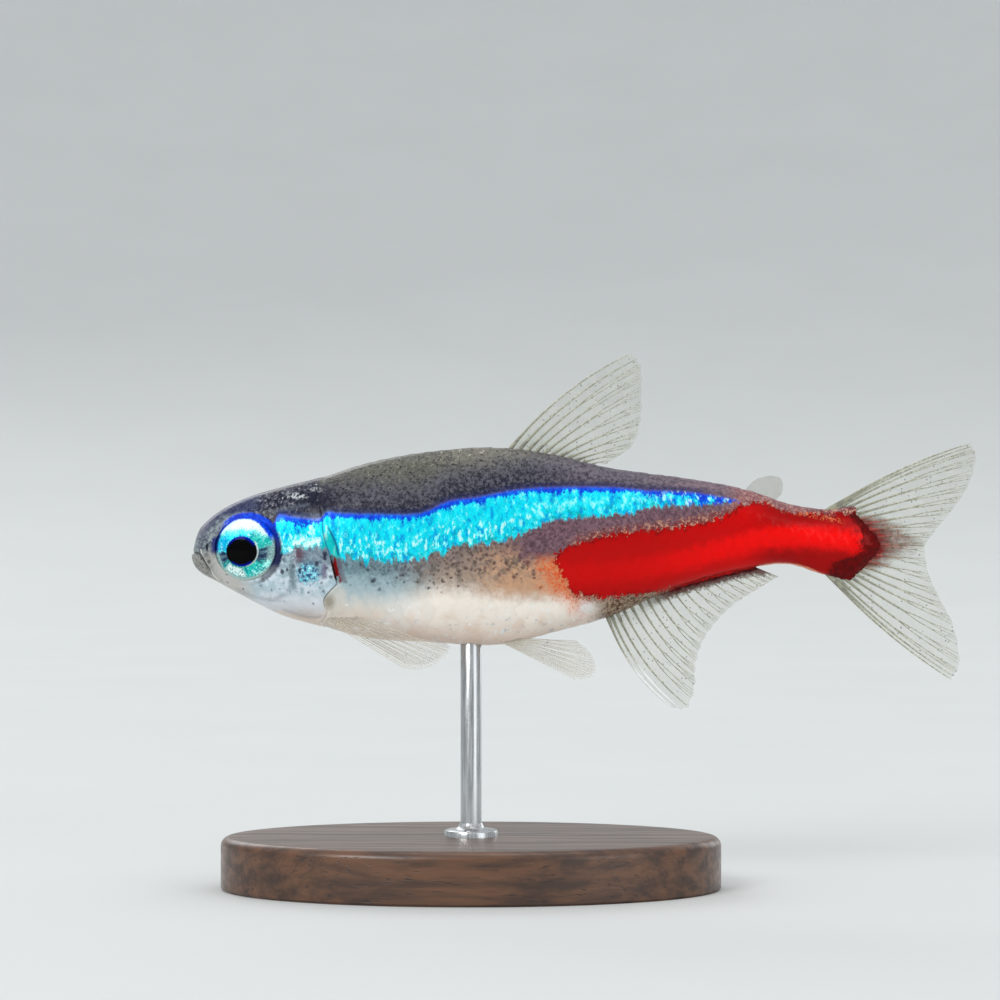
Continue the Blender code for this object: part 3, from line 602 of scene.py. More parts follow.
    # blue-green glitter on the gill cover under the stripe, a rusty mark before it
    lumps = g.noise(warp, 7.5, 2, 0.6)
    patch = g.ease(0.58, 0.22, g.power(g.power((x - 4.52) * 0.9, 2.0) + g.power(z + 0.95, 2.0), 0.5) + rough_edge * 0.7 + fine_edge * 0.4)
    head = g.blend(head, rgb(112, 180, 200), patch * 0.75)
    head = g.blend(head, rgb(10, 62, 120), patch * g.ease(0.50, 0.42, lumps) * 0.9)
    head = g.blend(head, rgb(40, 214, 236), patch * g.ease(0.52, 0.58, lumps) * 0.85)
    head = g.blend(head, rgb(214, 248, 255), patch * g.ease(0.56, 0.62, lumps * 0.6 + grain * 0.4) * 0.9)
    rust = g.ease(0.24, 0.06, g.power(g.power(x - 4.18, 2.0) + g.power((z + 0.30) * 0.6, 2.0), 0.5) + fine_edge * 0.3)
    head = g.blend(head, rgb(104, 62, 74), rust * 0.85)
    haze = g.ease(3.9, 4.2, x) * g.ease(-0.72, -0.55, z) * g.ease(0.30, 0.10, z)
    head = g.blend(head, g.blend(rgb(74, 88, 112), rgb(126, 146, 156), g.ease(0.40, 0.62, speck)), haze * 0.75)
    head = g.blend(head, rgb(104, 62, 74), rust * 0.6)
    for sx, sz, size in ((5.14, -0.26, 0.10), (5.13, -0.44, 0.07), (4.83, -0.63, 0.09), (3.94, -0.73, 0.07), (3.52, -0.93, 0.08),
                         (3.70, -0.86, 0.06), (4.19, -0.86, 0.08)):
        mark = g.ease(size * 1.3, size * 0.5, g.power(g.power(x - sx, 2.0) + g.power((z - sz) * 0.8, 2.0), 0.5) + fine_edge * 0.10)
        head = g.blend(head, rgb(26, 24, 58), mark * 0.85)
    plum = g.ease(0.16, 0.04, g.absolute(x - 5.10 + (z + 0.9) * 0.08) + fine_edge * 0.12) * g.ease(-0.55, -0.70, z) * g.ease(-1.28, -1.12, z)
    head = g.blend(head, rgb(104, 92, 124), plum * 0.7)
    shade = g.ease(0.22, 0.0, g.absolute(x - 3.90 + (z + 1.0) * 0.06 + rough_edge * 0.25)) * g.ease(-0.45, -0.7, z) * g.ease(-1.9, -1.4, z)
    head = g.blend(head, rgb(92, 116, 124), shade * 0.75)

    # -- the blue stripe, from the eye over the gill cover to the tail stalk
    drip = g.noise(g.vector(px * 4.6, py * 2.0, pz * 1.0), 1.0, 3, 0.7) - 0.5
    shine = g.noise(g.vector(px * 4.0, py * 2.4, pz * 2.1), 1.0, 4, 0.72)
    lower_edge = z - stripe_low + drip * g.ease(12.5, 9.0, x, 0.75, 1.20) * g.ease(4.7, 5.3, x, 0.40, 1.0) + fine_edge * 0.30
    upper_edge = stripe_top - z + fine_edge * 0.09 + drip * 0.05
    start = eye_r - 1.30 + fine_edge * 0.10
    ending = 20.75 - x + fine_edge * 0.5
    in_stripe = g.least(g.least(lower_edge, upper_edge), g.least(start, ending))
    in_stripe = g.least(in_stripe, x - 2.6)
    stripe = g.ease(-0.06, 0.11, in_stripe)
    cyan = g.blend(rgb(0, 158, 226), rgb(0, 226, 246), g.ease(0.36, 0.50, shine))
    cyan = g.blend(cyan, rgb(54, 248, 255), g.ease(0.54, 0.66, shine) * 0.9)
    teal_spot = g.ease(0.49, 0.62, g.noise(warp, 5.0, 2, 0.6))
    cyan = g.blend(cyan, rgb(0, 172, 176), teal_spot * g.ease(0.9, 0.1, lower_edge) * 0.75)
    third = g.ease(0.10, 0.35, lower_edge) * g.ease(1.05, 0.55, lower_edge)
    fleck = g.noise(g.vector(px * 6.5, py * 3.5, pz * 3.6), 1.0, 2, 0.6)
    # painted glints: white-cyan sparks, most in the stripe's lower third, standing in for highlights
    fine_spark = g.ease(0.570, 0.655, fleck + third * 0.035)
    spark = g.ease(0.580, 0.655, shine * 0.45 + fleck * 0.55 + third * 0.065 - g.ease(12.5, 15.5, x) * 0.025)
    cyan = g.blend(cyan, rgb(70, 244, 255), g.ease(0.54, 0.60, shine * 0.45 + fleck * 0.55 + third * 0.065) * 0.7)
    cyan = g.blend(cyan, rgb(112, 252, 255), fine_spark * g.ease(1.3, 0.3, lower_edge, 0.30, 0.80))
    cyan = g.blend(cyan, g.blend(rgb(200, 255, 255), rgb(150, 250, 255), g.ease(11.0, 14.5, x)), spark * g.ease(1.3, 0.7, lower_edge, 0.35, 0.95))
    cheek_glow = g.ease(3.5, 3.9, x) * g.ease(5.06, 4.9, x) * g.ease(0.44, 0.26, lower_edge + rough_edge * 0.25) * g.ease(0.0, 0.10, lower_edge)
    cyan = g.blend(cyan, rgb(90, 246, 246), cheek_glow * 0.8)
    cyan = g.blend(cyan, rgb(226, 255, 252), cheek_glow * g.ease(0.44, 0.54, g.noise(warp, 6.0, 3, 0.65)) * 0.95)
    flap = g.curve(z, ((-0.6, 5.72), (-0.18, 5.62), (0.16, 5.53), (0.43, 5.41), (0.81, 5.24), (1.1, 5.18)))
    between = g.ease(0.10, -0.02, x - flap) * g.ease(5.0, 5.1, x)
    cyan = g.blend(cyan, rgb(0, 186, 172), between * g.ease(0.8, 0.2, z) * 0.7)
    cyan = g.blend(cyan, rgb(0, 92, 138), g.ease(0.07, 0.02, g.absolute(x - flap)) * g.ease(-0.42, -0.25, z) * g.ease(0.9, 0.6, z) * 0.8)
    blue = g.blend(rgb(0, 62, 214), rgb(0, 108, 250), g.ease(0.38, 0.62, shine))
    rim_blue = g.ease(0.04, -0.06, upper_edge - g.ease(3.9, 4.6, x, 0.30, 0.21) + (shine - 0.5) * 0.75 + fine_edge * g.ease(5.2, 4.8, x, 0.15, 0.75))
    blues = g.ease(15.8, 19.6, x) * g.ease(0.60, 0.50, shine + g.ease(0.0, 0.5, upper_edge) * 0.04)
    blues = g.most(blues, g.ease(5.1, 4.7, x) * g.ease(0.46, 0.40, shine + g.ease(0.25, 0.7, upper_edge) * 0.09) * 0.85)
    cyan = g.blend(cyan, blue, g.most(rim_blue, blues * 0.95))
    # painted glints: white-cyan specks in the stripe's rear part
    cyan = g.blend(cyan, rgb(190, 246, 255), fine_spark * g.ease(17.0, 19.0, x) * 0.8)
    over_rim = g.ease(0.20, 0.0, g.absolute(over - 0.06)) * g.ease(20.6, 19.0, x)
    body = g.blend(body, rgb(14, 26, 84), over_rim * g.ease(5.0, 5.6, x) * 0.6)
    head = g.blend(head, rgb(10, 22, 90), over_rim * g.ease(3.0, 3.4, x) * 0.7)

    # ring round the eye: royal blue above, navy behind, nothing below
    ring = g.ease(1.42, 1.32, eye_r + fine_edge * 0.16)
    head = g.blend(head, g.blend(rgb(0, 40, 190), rgb(0, 84, 240), g.ease(0.40, 0.60, shine)), ring * g.ease(0.20, 0.60, ez) * g.ease(-1.15, -0.6, ex) * 0.98)
    head = g.blend(head, g.blend(rgb(4, 10, 66), rgb(0, 36, 160), g.ease(-0.1, 0.8, ez + fine_edge)), ring * g.ease(0.70, 0.95, ex) * g.ease(-1.05, -0.5, ez) * g.ease(1.05, 0.75, ez) * 0.97)
    head = g.blend(head, rgb(10, 26, 110), ring * g.ease(-0.95, -1.10, ex) * g.ease(-0.25, -0.05, ez) * g.ease(0.55, 0.35, ez) * 0.9)
    head = g.blend(head, rgb(64, 60, 74), ring * g.ease(0.35, 0.60, ex) * g.ease(-0.5, -0.8, ez) * 0.7)

    # painted shade: the mouth's groove painted dark grey
    head = g.blend(head, rgb(44, 44, 52), g.attribute("mouth") * 0.8)
    head = g.blend(head, rgb(226, 226, 220), g.ease(0.45, 0.95, g.attribute("maxilla")) * g.ease(0.36, 0.50, grain * 0.5 + patchy * 0.5, 0.55, 0.9))
    # painted shade: the nostril's pit painted dark navy
    head = g.blend(head, rgb(20, 22, 42), g.ease(0.25, 0.80, g.attribute("nostril")))
    # painted shade: blue-grey laid along the head's fold lines, darkening the grooves across the silver cheek; over the
    # dark crown the same tint is lighter
    head = g.blend(head, rgb(112, 124, 138), g.attribute("fold") * 0.30)
    on_head = g.attribute("head")
    base = g.blend(body, head, on_head)
    base = g.blend(base, cyan, stripe)

    # Behind the gill cover: a dark blue line in the stripe, a dark red slit under it and a grey line lower still,
    # the two lines painted shade along the slit and the red, the gills' own colour, painted darker towards the
    # cover's edge as shade; and a pale pad of bare skin at the root of the pectoral fin, with painted shade
    # on it beside the cover's edge.
    past = g.attribute("past")
    gape = g.ease(-0.28, -0.46, z) * g.ease(-1.40, -1.28, z)
    smoky = g.ease(0.50, 0.66, past) * gape
    base = g.blend(base, rgb(100, 92, 106), smoky * 0.65)
    pad = g.ease(1.25, 0.65, g.power(g.power((x - 5.58) / 0.40, 2.0) + g.power((z + 1.98) / 0.60, 2.0), 0.5) + rough_edge * 0.2) * g.ease(0.0, 0.3, past)
    base = g.blend(base, rgb(216, 208, 196), pad * 0.55)
    # painted shade: a brownish patch on the pad beside the gill cover's edge
    pad_shade = g.ease(0.36, 0.05, g.power(g.power(x - 5.27, 2.0) + g.power((z + 2.06) * 0.8, 2.0), 0.5) + rough_edge * 0.2 + fine_edge * 0.1) * g.ease(0.0, 0.3, past)
    base = g.blend(base, rgb(136, 128, 106), pad_shade * 0.7)
    # painted shade: dark blue line along the slit in the stripe
    base = g.blend(base, rgb(0, 84, 150), g.ease(0.91, 0.965, past) * g.ease(-0.45, -0.30, z) * g.ease(1.20, 1.0, z) * 0.6)
    # red of the gills in the slit, painted darker towards the cover's edge as shade
    base = g.blend(base, g.blend(rgb(132, 6, 10), rgb(40, 0, 2), g.ease(0.86, 0.97, past)), g.ease(0.74, 0.82, past + fine_edge * 0.08) * gape)
    # painted shade: grey line along the slit below the red
    base = g.blend(base, rgb(96, 98, 104), g.ease(0.925, 0.97, past) * g.ease(-1.30, -1.42, z) * g.ease(-2.1, -1.8, z) * 0.8)

    silvery = g.ease(1.2, -0.4, z) * on_head
    flame = g.most(red * (cap * 0.20 + 0.55), sheath * 0.75) * (1.0 - on_head)
    metal = g.most(g.most(stripe * 0.22, silvery * 0.22), flame)
    rough = g.ease(0.3, 0.7, grain, 0.28, 0.44) - stripe * 0.04
    height = (grain - 0.5) * 0.5 + g.ease(0.0, 0.5, d2, 0.25, 0.0)
    return base, metal, rough, height


def fish_material():
    g = Graph("fish_skin", Coat_Weight=0.25, Coat_Roughness=0.12, Coat_IOR=1.38, IOR=1.19)
    colour, metal, rough, height = markings(g)
    edge = g.attribute("edge")
    _, px, _, pz = g.spot()
    dim = (edge * g.ease(-0.8, 0.6, pz - AXIS_HEIGHT, 0.025, 0.11) + g.attribute("tint") * 0.06) * g.ease(3.4, 4.8, px, 1.0, 0.45)
    colour = g.blend(colour, (0.0, 0.0, 0.0, 1.0), dim)
    return g.finish(Base_Color=colour, Metallic=metal, Roughness=rough, Normal=g.bump(height, 0.000010, 0.5))


# ---- skin ------------------------------------------------------------------------
GILL_AT_Z = np.array(Smooth(GILL_EDGE)(np.linspace(0, 1, 200)))


def gill_x(z):
    return np.interp(z, GILL_AT_Z[::-1, 1], GILL_AT_Z[::-1, 0])


def gill_depth(z):
    """How deep the slit behind the gill cover is: deepest behind the cheek."""
    return 0.028 + 0.110 * gill_gape(z)


def gill_gape(z):
    """Where the gill cover stands open a little, showing the red inside."""
    return ease(-0.25, -0.52, z) * ease(-1.48, -1.30, z)


def skin_rings():
    """Station numbers of the skin's rings: close on the head, closest at the gill edge."""
    number = np.linspace(0.0, COUNT, 20001)
    x = FINE_MID[:, 0]
    x = np.interp(number, FINE, x)
    arc = np.concatenate([[0], np.cumsum(np.abs(np.diff(x)) + np.abs(np.diff(number)) * 0.02)])
    step = np.where(x < 0.5, 0.020, np.where(x < 6.2, 0.032, 0.10))
    step = np.where(np.abs(x - GILL_X) < 0.22, 0.013, step)
    step = np.where(x > 24.8, 0.05, step)
    along = np.concatenate([[0], np.cumsum(np.diff(arc) / ((step[1:] + step[:-1]) / 2))])
    count = int(along[-1])
    return np.interp(np.linspace(0.35, along[-1] - 0.35, count), along, number)


AROUND = 216


def even_angles(number):
    """Angles that are evenly spaced along each section's edge, from the belly up the left."""
    dense = np.linspace(-math.pi / 2, 3 * math.pi / 2, 721)
    p = body_point(number[:, None], dense[None, :])
    arc = np.concatenate([np.zeros((len(number), 1)), np.cumsum(np.linalg.norm(np.diff(p, axis=1), axis=2), axis=1)], axis=1)
    want = np.arange(AROUND) / AROUND
    return np.stack([np.interp(want * a[-1], a, dense) for a in arc]), arc[:, -1]


def surface_normal(number, angle):
    e, f = 2e-3, 2e-3
    a = body_point(np.minimum(number + e, COUNT), angle) - body_point(np.maximum(number - e, 0), angle)
    b = body_point(number, angle + f) - body_point(number, angle - f)
    n = np.cross(a, b)
    length = np.linalg.norm(n, axis=-1, keepdims=True)
    n = n / np.maximum(length, 1e-12)
    out = body_point(number, angle) - np.stack([*(np.moveaxis((station(number)[0] + station(number)[1]) / 2, -1, 0)[[0]]), np.zeros(np.shape(number)), (station(number)[0] + station(number)[1])[..., 1] / 2], axis=-1)
    flip = np.sign((n * out).sum(-1, keepdims=True))
    return n * np.where(flip == 0, 1, flip)


def skin():
    number = skin_rings()
    angle, girth = even_angles(number)
    ring_x = np.interp(number, FINE, FINE_MID[:, 0])
    reach = 2.7
    bump = np.cos(np.clip((ring_x - GILL_X) / reach, -1, 1) * math.pi / 2) ** 2
    bent = np.repeat(number[:, None], AROUND, axis=1)
    for _ in range(6):  # bends the rings near the gill cover's hind edge onto it
        z = body_point(bent, angle)[..., 2]
        bent = number_at(ring_x[:, None] + bump[:, None] * (gill_x(z) - GILL_X))
        bent = np.where(bump[:, None] > 0, bent, number[:, None])
    p = body_point(bent, angle)
    n = surface_normal(bent, angle)
    x, y, z = p[..., 0], p[..., 1], p[..., 2]
    behind = np.broadcast_to((ring_x - GILL_X)[:, None], x.shape)
    flank = np.abs(np.cos(angle))

    # The gill cover's edge stands over a slit; behind it the skin lies under the scales.
    open_gill = ease(1.65, 1.15, z) * ease(0.10, 0.30, flank)
    scaled = ease(0.05, 0.45, behind) * ease(25.75, 25.2, x)
    offset = -COAT_DEPTH * scaled
    wide = 0.05 + 0.17 * gill_gape(z)
    slit = ease(0.000, 0.016, behind) * (1 - ease(0.0, 1.0, (behind - wide * 0.6) / (wide * 0.4 + 0.10)))
    depth = gill_depth(z)
    offset = offset - depth * open_gill * slit
    lip = ease(-0.22, -0.02, behind) * ease(0.03, 0.0, behind)
    offset = offset - 0.020 * open_gill * (1 - ease(-0.5, -0.1, behind)) * ease(-1.2, -0.5, behind)
    offset = offset + 0.010 * open_gill * lip
    past = np.where(behind > 0.004, 1 - np.clip(behind, 0, 1), 0.0) * np.ones_like(x)

    side = np.abs(y)
    # Folds of the head: front edge of the gill cover, edge under the cheek, ridges of the crown.
    on_side = ease(0.25, 0.5, flank)
    fold = np.zeros_like(x)
    for points, depth, width in (
        (((3.80, 0.20), (3.86, -0.30), (3.92, -0.80), (3.88, -1.30), (3.66, -1.80), (3.05, -2.06)), 0.030, 0.080),
        (((1.60, -1.58), (2.30, -1.88), (3.00, -2.04), (3.62, -2.06)), 0.022, 0.070),
        (((3.40, -2.36), (4.00, -2.56), (4.60, -2.70), (5.10, -2.66)), 0.026, 0.060),
        (((3.00, 1.25), (3.80, 1.45), (4.60, 1.60)), 0.020, 0.080),
    ):
        r, share = line_distance(x, z, points)
        mark = np.exp(-((r / width) ** 2)) * ease(0.0, 0.12, share) * ease(1.0, 0.88, share) * on_side
        offset = offset - depth * mark
        fold = np.maximum(fold, mark)

    # Mouth: a groove round the snout between the lips, running down behind the lower jaw.
    r, share = line_distance(x, z, MOUTH_LINE)
    front = ease(0.40, 0.16, x)
    mouth = np.exp(-((r / 0.050) ** 2)) * ease(1.0, 0.8, share)
    ring_mouth = np.exp(-(((z + 0.25) / 0.045) ** 2)) * front
    mouth = np.maximum(mouth * on_side * (x > 0.12), ring_mouth)
    offset = offset - 0.075 * mouth
    lips = np.exp(-(((np.abs(z + 0.27) - 0.13) / 0.07) ** 2)) * front
    offset = offset + 0.010 * lips

    r, share = line_distance(x, z, MAXILLA_LINE)
    maxilla = np.exp(-((r / 0.034) ** 2)) * on_side * ease(1.0, 0.9, share)
    groove = np.exp(-(((r - 0.080) / 0.035) ** 2)) * on_side * ease(0.02, 0.15, share)
    offset = offset + 0.018 * maxilla - 0.020 * groove

    nostril = np.zeros_like(x)
    for nx, nz, wide, high in ((0.61, -0.01, 0.052, 0.190),):
        pit = np.exp(-(((x - nx) / wide) ** 2 + ((z - nz) / high) ** 2) ** 1.5)
        nostril = np.maximum(nostril, pit * on_side)
        rim = np.exp(-((np.hypot((x - nx) / wide, (z - nz) / high) - 1.6) ** 2) / 0.16)
        offset = offset + 0.010 * rim * on_side
    offset = offset - 0.06 * nostril

    # Eye socket: the skin sinks towards the eyeball and runs in under it.
    c, s = math.cos(EYE_TURN), math.sin(EYE_TURN)
    rho = np.hypot((x - EYE_CENTRE[0]) * c + (side - EYE_OUT) * s, z - EYE_CENTRE[1])
    in_front = side > 0.3
    offset = offset - 0.030 * ease(1.85, 1.40, rho) * in_front
    sunk = ease(1.40, 1.22, rho) * in_front
    # Shoulder: a low swelling before the pectoral fin, under the gill cover.
    shoulder = np.exp(-(((x - 5.58) / 0.30) ** 2 + ((z + 2.05) / 0.50) ** 2))
    offset = offset + 0.028 * shoulder * ease(0.03, 0.15, behind)
    muscle = np.zeros_like(x)
    p = p + n * offset[..., None]
    p[..., 0] += 0.055 * ease(-0.27, -0.16, z) * ease(0.75, 0.05, x) * ease(0.9, 0.3, z)
    p[..., 1] -= np.sign(p[..., 1]) * 0.55 * sunk
    p[..., 1] = np.where(in_front & (rho < 1.3) & (np.sign(p[..., 1]) != np.sign(y)), 0.3 * np.sign(y), p[..., 1])

    head = ease(0.02, -0.02, behind) * np.ones_like(x)
    head = np.maximum(head, ease(0.30, 0.0, behind) * ease(1.1, 1.5, z))

    rows = len(number)
    length = np.concatenate([[0], np.cumsum(np.linalg.norm(np.diff(p[:, AROUND // 4], axis=0), axis=1))])
    points = [place(p).reshape(-1, 3)]
    faces = [grid_faces(rows, AROUND, wrap=True)[:, ::-1]]
    tips = np.array([p[0].mean(axis=0), [25.84, 0.0, 0.04]])
    points.append(place(tips))
    first = rows * AROUND
    ends = np.arange(AROUND)
    last = (rows - 1) * AROUND
    caps = np.concatenate([
        np.stack([ends, np.roll(ends, -1), np.full(AROUND, first)], axis=1),
        np.stack([last + np.roll(ends, -1), last + ends, np.full(AROUND, first + 1)], axis=1),
    ])
    fields = {"head": head, "past": past, "mouth": mouth, "maxilla": maxilla, "nostril": nostril,
              "fold": fold}
    fields = {k: np.concatenate([v.ravel(), v[0, :1], v[-1, :1]]) for k, v in fields.items()}
    fields["head"][-1] = 0.0
    u = 0.02 + 0.96 * length / length[-1]
    v = 0.01 + 0.98 * np.arange(AROUND) / AROUND
    uv = np.stack(np.broadcast_arrays(u[:, None], v[None, :]), axis=-1).reshape(-1, 2)
    uv = np.concatenate([uv, [[0.005, 0.5], [0.995, 0.5]]])
    return points, faces, caps, fields, uv, (ring_x, length, u)


def lid_ring(sign, count=120):
    """The rim of skin round an eye, from inside the eyeball's edge out under the skin."""
    c, s = math.cos(EYE_TURN), math.sin(EYE_TURN)
    turn = np.linspace(0, 2 * math.pi, count, endpoint=False)
    # radius from the eye's middle, height over the skin there, and share of the skin's own height
    profile = ((1.175, -0.10, 0.0), (1.205, -0.01, 0.35), (1.235, 0.022, 0.7), (1.275, 0.026, 0.9), (1.33, 0.012, 1.0),
               (1.40, -0.006, 1.0), (1.48, -0.030, 1.0))
    out = []
    for radius, lift, share in profile:
        a, b = radius * np.cos(turn), radius * np.sin(turn)
        x = EYE_CENTRE[0] + a * c
        z = EYE_CENTRE[1] + b
        for _ in range(3):
            y = side_y(x, z)
            depth = (y - EYE_OUT - a * s) / c
            x = EYE_CENTRE[0] + a * c - depth * s
        y = side_y(x, z)
        y_eye = EYE_OUT + a * s
        y = share * y + (1 - share) * (y_eye + 0.26) + lift - 0.030
        out.append(np.stack([x, sign * y, z], axis=-1))
    return np.array(out)


def build_skin(material):
    points, faces, caps, fields, uv, measures = skin()
    total = sum(len(q) for q in points)
    for sign in (-1, 1):
        ring = lid_ring(sign)
        rows, count = ring.shape[:2]
        quads = grid_faces(rows, count, wrap=True, start=total)
        points.append(place(ring).reshape(-1, 3))
        faces.append(quads if sign > 0 else quads[:, ::-1])
        total += rows * count
        for key in fields:
            fields[key] = np.concatenate([fields[key], np.full(rows * count, 1.0 if key == "head" else 0.0)])
        angle = np.linspace(0, 2 * math.pi, count, endpoint=False)
        wide = 0.012 + 0.006 * np.arange(rows)[:, None] / rows
        patch = np.stack([0.5 + wide * np.cos(angle), (0.25 if sign < 0 else 0.75) + wide * np.sin(angle)], axis=-1)
        uv = np.concatenate([uv, patch.reshape(-1, 2)])
    obj = make("fish_skin", np.concatenate(points), [np.concatenate(faces), caps], material, uv, fields, sharp=65)
    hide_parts("head", "lower_jaw", "gill_cover_left", "gill_cover_right", "trunk", "tail_stalk")
    return obj, measures


# ---- scales ----------------------------------------------------------------------
LOOK_NUMBER = np.linspace(6.0, COUNT - 0.02, 700)
LOOK_SHARE = np.linspace(0, 1, 161)


def half_tables(upper):
    """Angles at even shares of the way from the mid side to the back or belly, and that way's length."""
    dense = np.linspace(0, math.pi / 2 if upper else -math.pi / 2, 241)
    p = body_point(LOOK_NUMBER[:, None], dense[None, :])
    arc = np.concatenate([np.zeros((len(LOOK_NUMBER), 1)), np.cumsum(np.linalg.norm(np.diff(p, axis=1), axis=2), axis=1)], axis=1)
    table = np.stack([np.interp(LOOK_SHARE * a[-1], a, dense) for a in arc])
    return table, arc[:, -1]


TABLES = {True: half_tables(True), False: half_tables(False)}


def look_up(table, number, share):
    i = np.clip((number - LOOK_NUMBER[0]) / (LOOK_NUMBER[1] - LOOK_NUMBER[0]), 0, len(LOOK_NUMBER) - 1.001)
    j = np.clip(share, 0, 1) * (len(LOOK_SHARE) - 1.001)
    i0, j0 = i.astype(int), j.astype(int)
    fi, fj = i - i0, j - j0
    return ((table[i0, j0] * (1 - fj) + table[i0, j0 + 1] * fj) * (1 - fi)
            + (table[i0 + 1, j0] * (1 - fj) + table[i0 + 1, j0 + 1] * fj) * fi)


def half_length(number, upper):
    return np.interp(number, LOOK_NUMBER, TABLES[upper][1])


def column_step(x):
    return 0.60 - 0.09 * ease(12, 24, x)


def row_step(x):
    return 0.62 - 0.20 * ease(13, 24.5, x)


P_STEPS = np.array([0.0, 0.28, 0.45, 0.56, 0.66, 0.75, 0.83, 0.90, 0.955, 1.0])
Q_STEPS = np.array([-1.0, -0.84, -0.62, -0.34, 0.0, 0.34, 0.62, 0.84, 1.0])


def scales_of(side, upper, rng):
    """A list of (root x, arc from the mid side, row number) for one quarter of the coat."""
    roots = []
    for j in range(0 if upper else 1, 16):
        x = 4.6 + (0.5 if j % 2 else 0.0) * column_step(5.0)
        while x < 25.25:
            step = column_step(x)
            arc = j * row_step(x + step)
            number = number_at(x + step)
            if arc < half_length(number, upper) - 0.10:
                roots.append((x, arc, j))
            x += step
    return roots


def coat_piece(name, side, upper, material, measures, seed):
    rng = np.random.default_rng(seed)
    pp, qq = np.meshgrid(P_STEPS, Q_STEPS, indexing="ij")
    nx_, ny_ = pp.shape
    points, uvs, fields = [], [], {"along": [], "across": [], "chance": [], "tint": [], "edge": [], "past": []}
    tops = grid_faces(nx_, ny_)
    rim = list(range(0, ny_)) + [r * ny_ + ny_ - 1 for r in range(1, nx_)] + \
        [(nx_ - 1) * ny_ + c for c in range(ny_ - 2, -1, -1)] + [r * ny_ for r in range(nx_ - 2, 0, -1)]
    rim = np.array(rim)
    size = nx_ * ny_
    faces, total = [], 0
    for x0, arc0, j in scales_of(side, upper, rng):
        step, row = column_step(x0), row_step(x0 + 0.3)
        length = 1.85 * step * rng.uniform(0.97, 1.04)
        half = 0.93 * row * rng.uniform(0.97, 1.03)
        hind = 1.0 - 0.36 * np.abs(qq) ** 2.4 - 0.03 * rng.uniform()
        x = x0 + length * pp * (1 - (1 - hind) * pp ** 1.5) + rng.uniform(-0.012, 0.012)
        root_z = body_point(number_at(x0 + step), look_up(TABLES[upper][0], number_at(x0 + step), arc0 / half_length(number_at(x0 + step), upper)))[2]
        if x0 + 0.55 * length < gill_x(root_z) + 0.10:
            continue
        narrow = 0.80 + 0.20 * ease(0.0, 0.45, pp)
        arc = arc0 * row_step(x) / row_step(x0 + step) + half * qq * narrow * (1 if upper else -1)
        number = number_at(np.minimum(x, 25.60))
        whole = half_length(number, upper)
        other = arc < 0
        over = arc > whole
        angle_here = look_up(TABLES[upper][0], number, np.where(over, 2 * whole - arc, arc) / whole)
        angle_other = look_up(TABLES[not upper][0], number, -arc / half_length(number, not upper))
        angle = np.where(other, angle_other, angle_here)
        angle = np.where(over, (math.pi if upper else -math.pi) - angle_here, angle)
        lift = -COAT_DEPTH + 0.004 + 0.027 * pp - 0.004 * np.abs(qq) ** 3 + rng.uniform(-0.0010, 0.0010)
        lift = lift - 0.006 * ease(0.86, 1.0, np.maximum(pp, np.abs(qq)))
        # The first scales come out from under the gill cover's edge.
        base = body_point(number, angle)
        tuck = ease(0.30, 0.02, base[..., 0] - gill_x(base[..., 2]))
        lift = lift - (gill_depth(base[..., 2]) + 0.012) * tuck * ease(1.6, 1.2, base[..., 2])
        normal = surface_normal(number, angle)
        top = base + normal * lift[..., None]
        low = base + normal * (lift - 0.007 - 0.004 * (1 - pp))[..., None]
        both = np.concatenate([top.reshape(-1, 3), low.reshape(-1, 3)])
        both[:, 1] *= side
        if rng.uniform() < 0.0:
            continue
        points.append(both)
        wall = np.stack([rim, np.roll(rim, -1), np.roll(rim, -1) + size, rim + size], axis=1)
        shell = np.concatenate([tops[:, ::-1], tops + size, wall])
        turn = (side > 0) != upper
        faces.append((shell if turn else shell[:, ::-1]) + total)
        total += 2 * size
        ru = np.interp(x0 + 0.6 * length, measures[0], measures[2])
        share = (arc0 / half_length(number_at(x0 + step), upper)) * 0.25
        rv = (0.25 + (share if upper else -share)) if side < 0 else (0.75 - (share if upper else -share))
        rv = 0.01 + 0.98 * rv
        patch = np.stack([ru + (pp - 0.5) * 0.014, rv + qq * 0.007], axis=-1).reshape(-1, 2)
        uvs.append(np.concatenate([patch, patch]))
        chance, tint = rng.uniform(), rng.uniform()
        hem = ease(0.80, 1.0, np.maximum(pp, np.abs(qq) * 0.96))
        back_of = base[..., 0] - gill_x(base[..., 2])
        past = np.where(back_of > 0.004, 1 - np.clip(back_of, 0, 1), 0.0)
        for key, value in (("along", pp), ("across", qq), ("chance", np.full(pp.shape, chance)),
                           ("tint", np.full(pp.shape, tint)), ("edge", hem), ("past", past)):
            fields[key].append(np.tile(value.ravel(), 2))
    obj = make(name, place(np.concatenate(points)), np.concatenate(faces), material, np.clip(np.concatenate(uvs), 0, 1),
               {k: np.concatenate(v) for k, v in fields.items()}, sharp=50)
    return obj


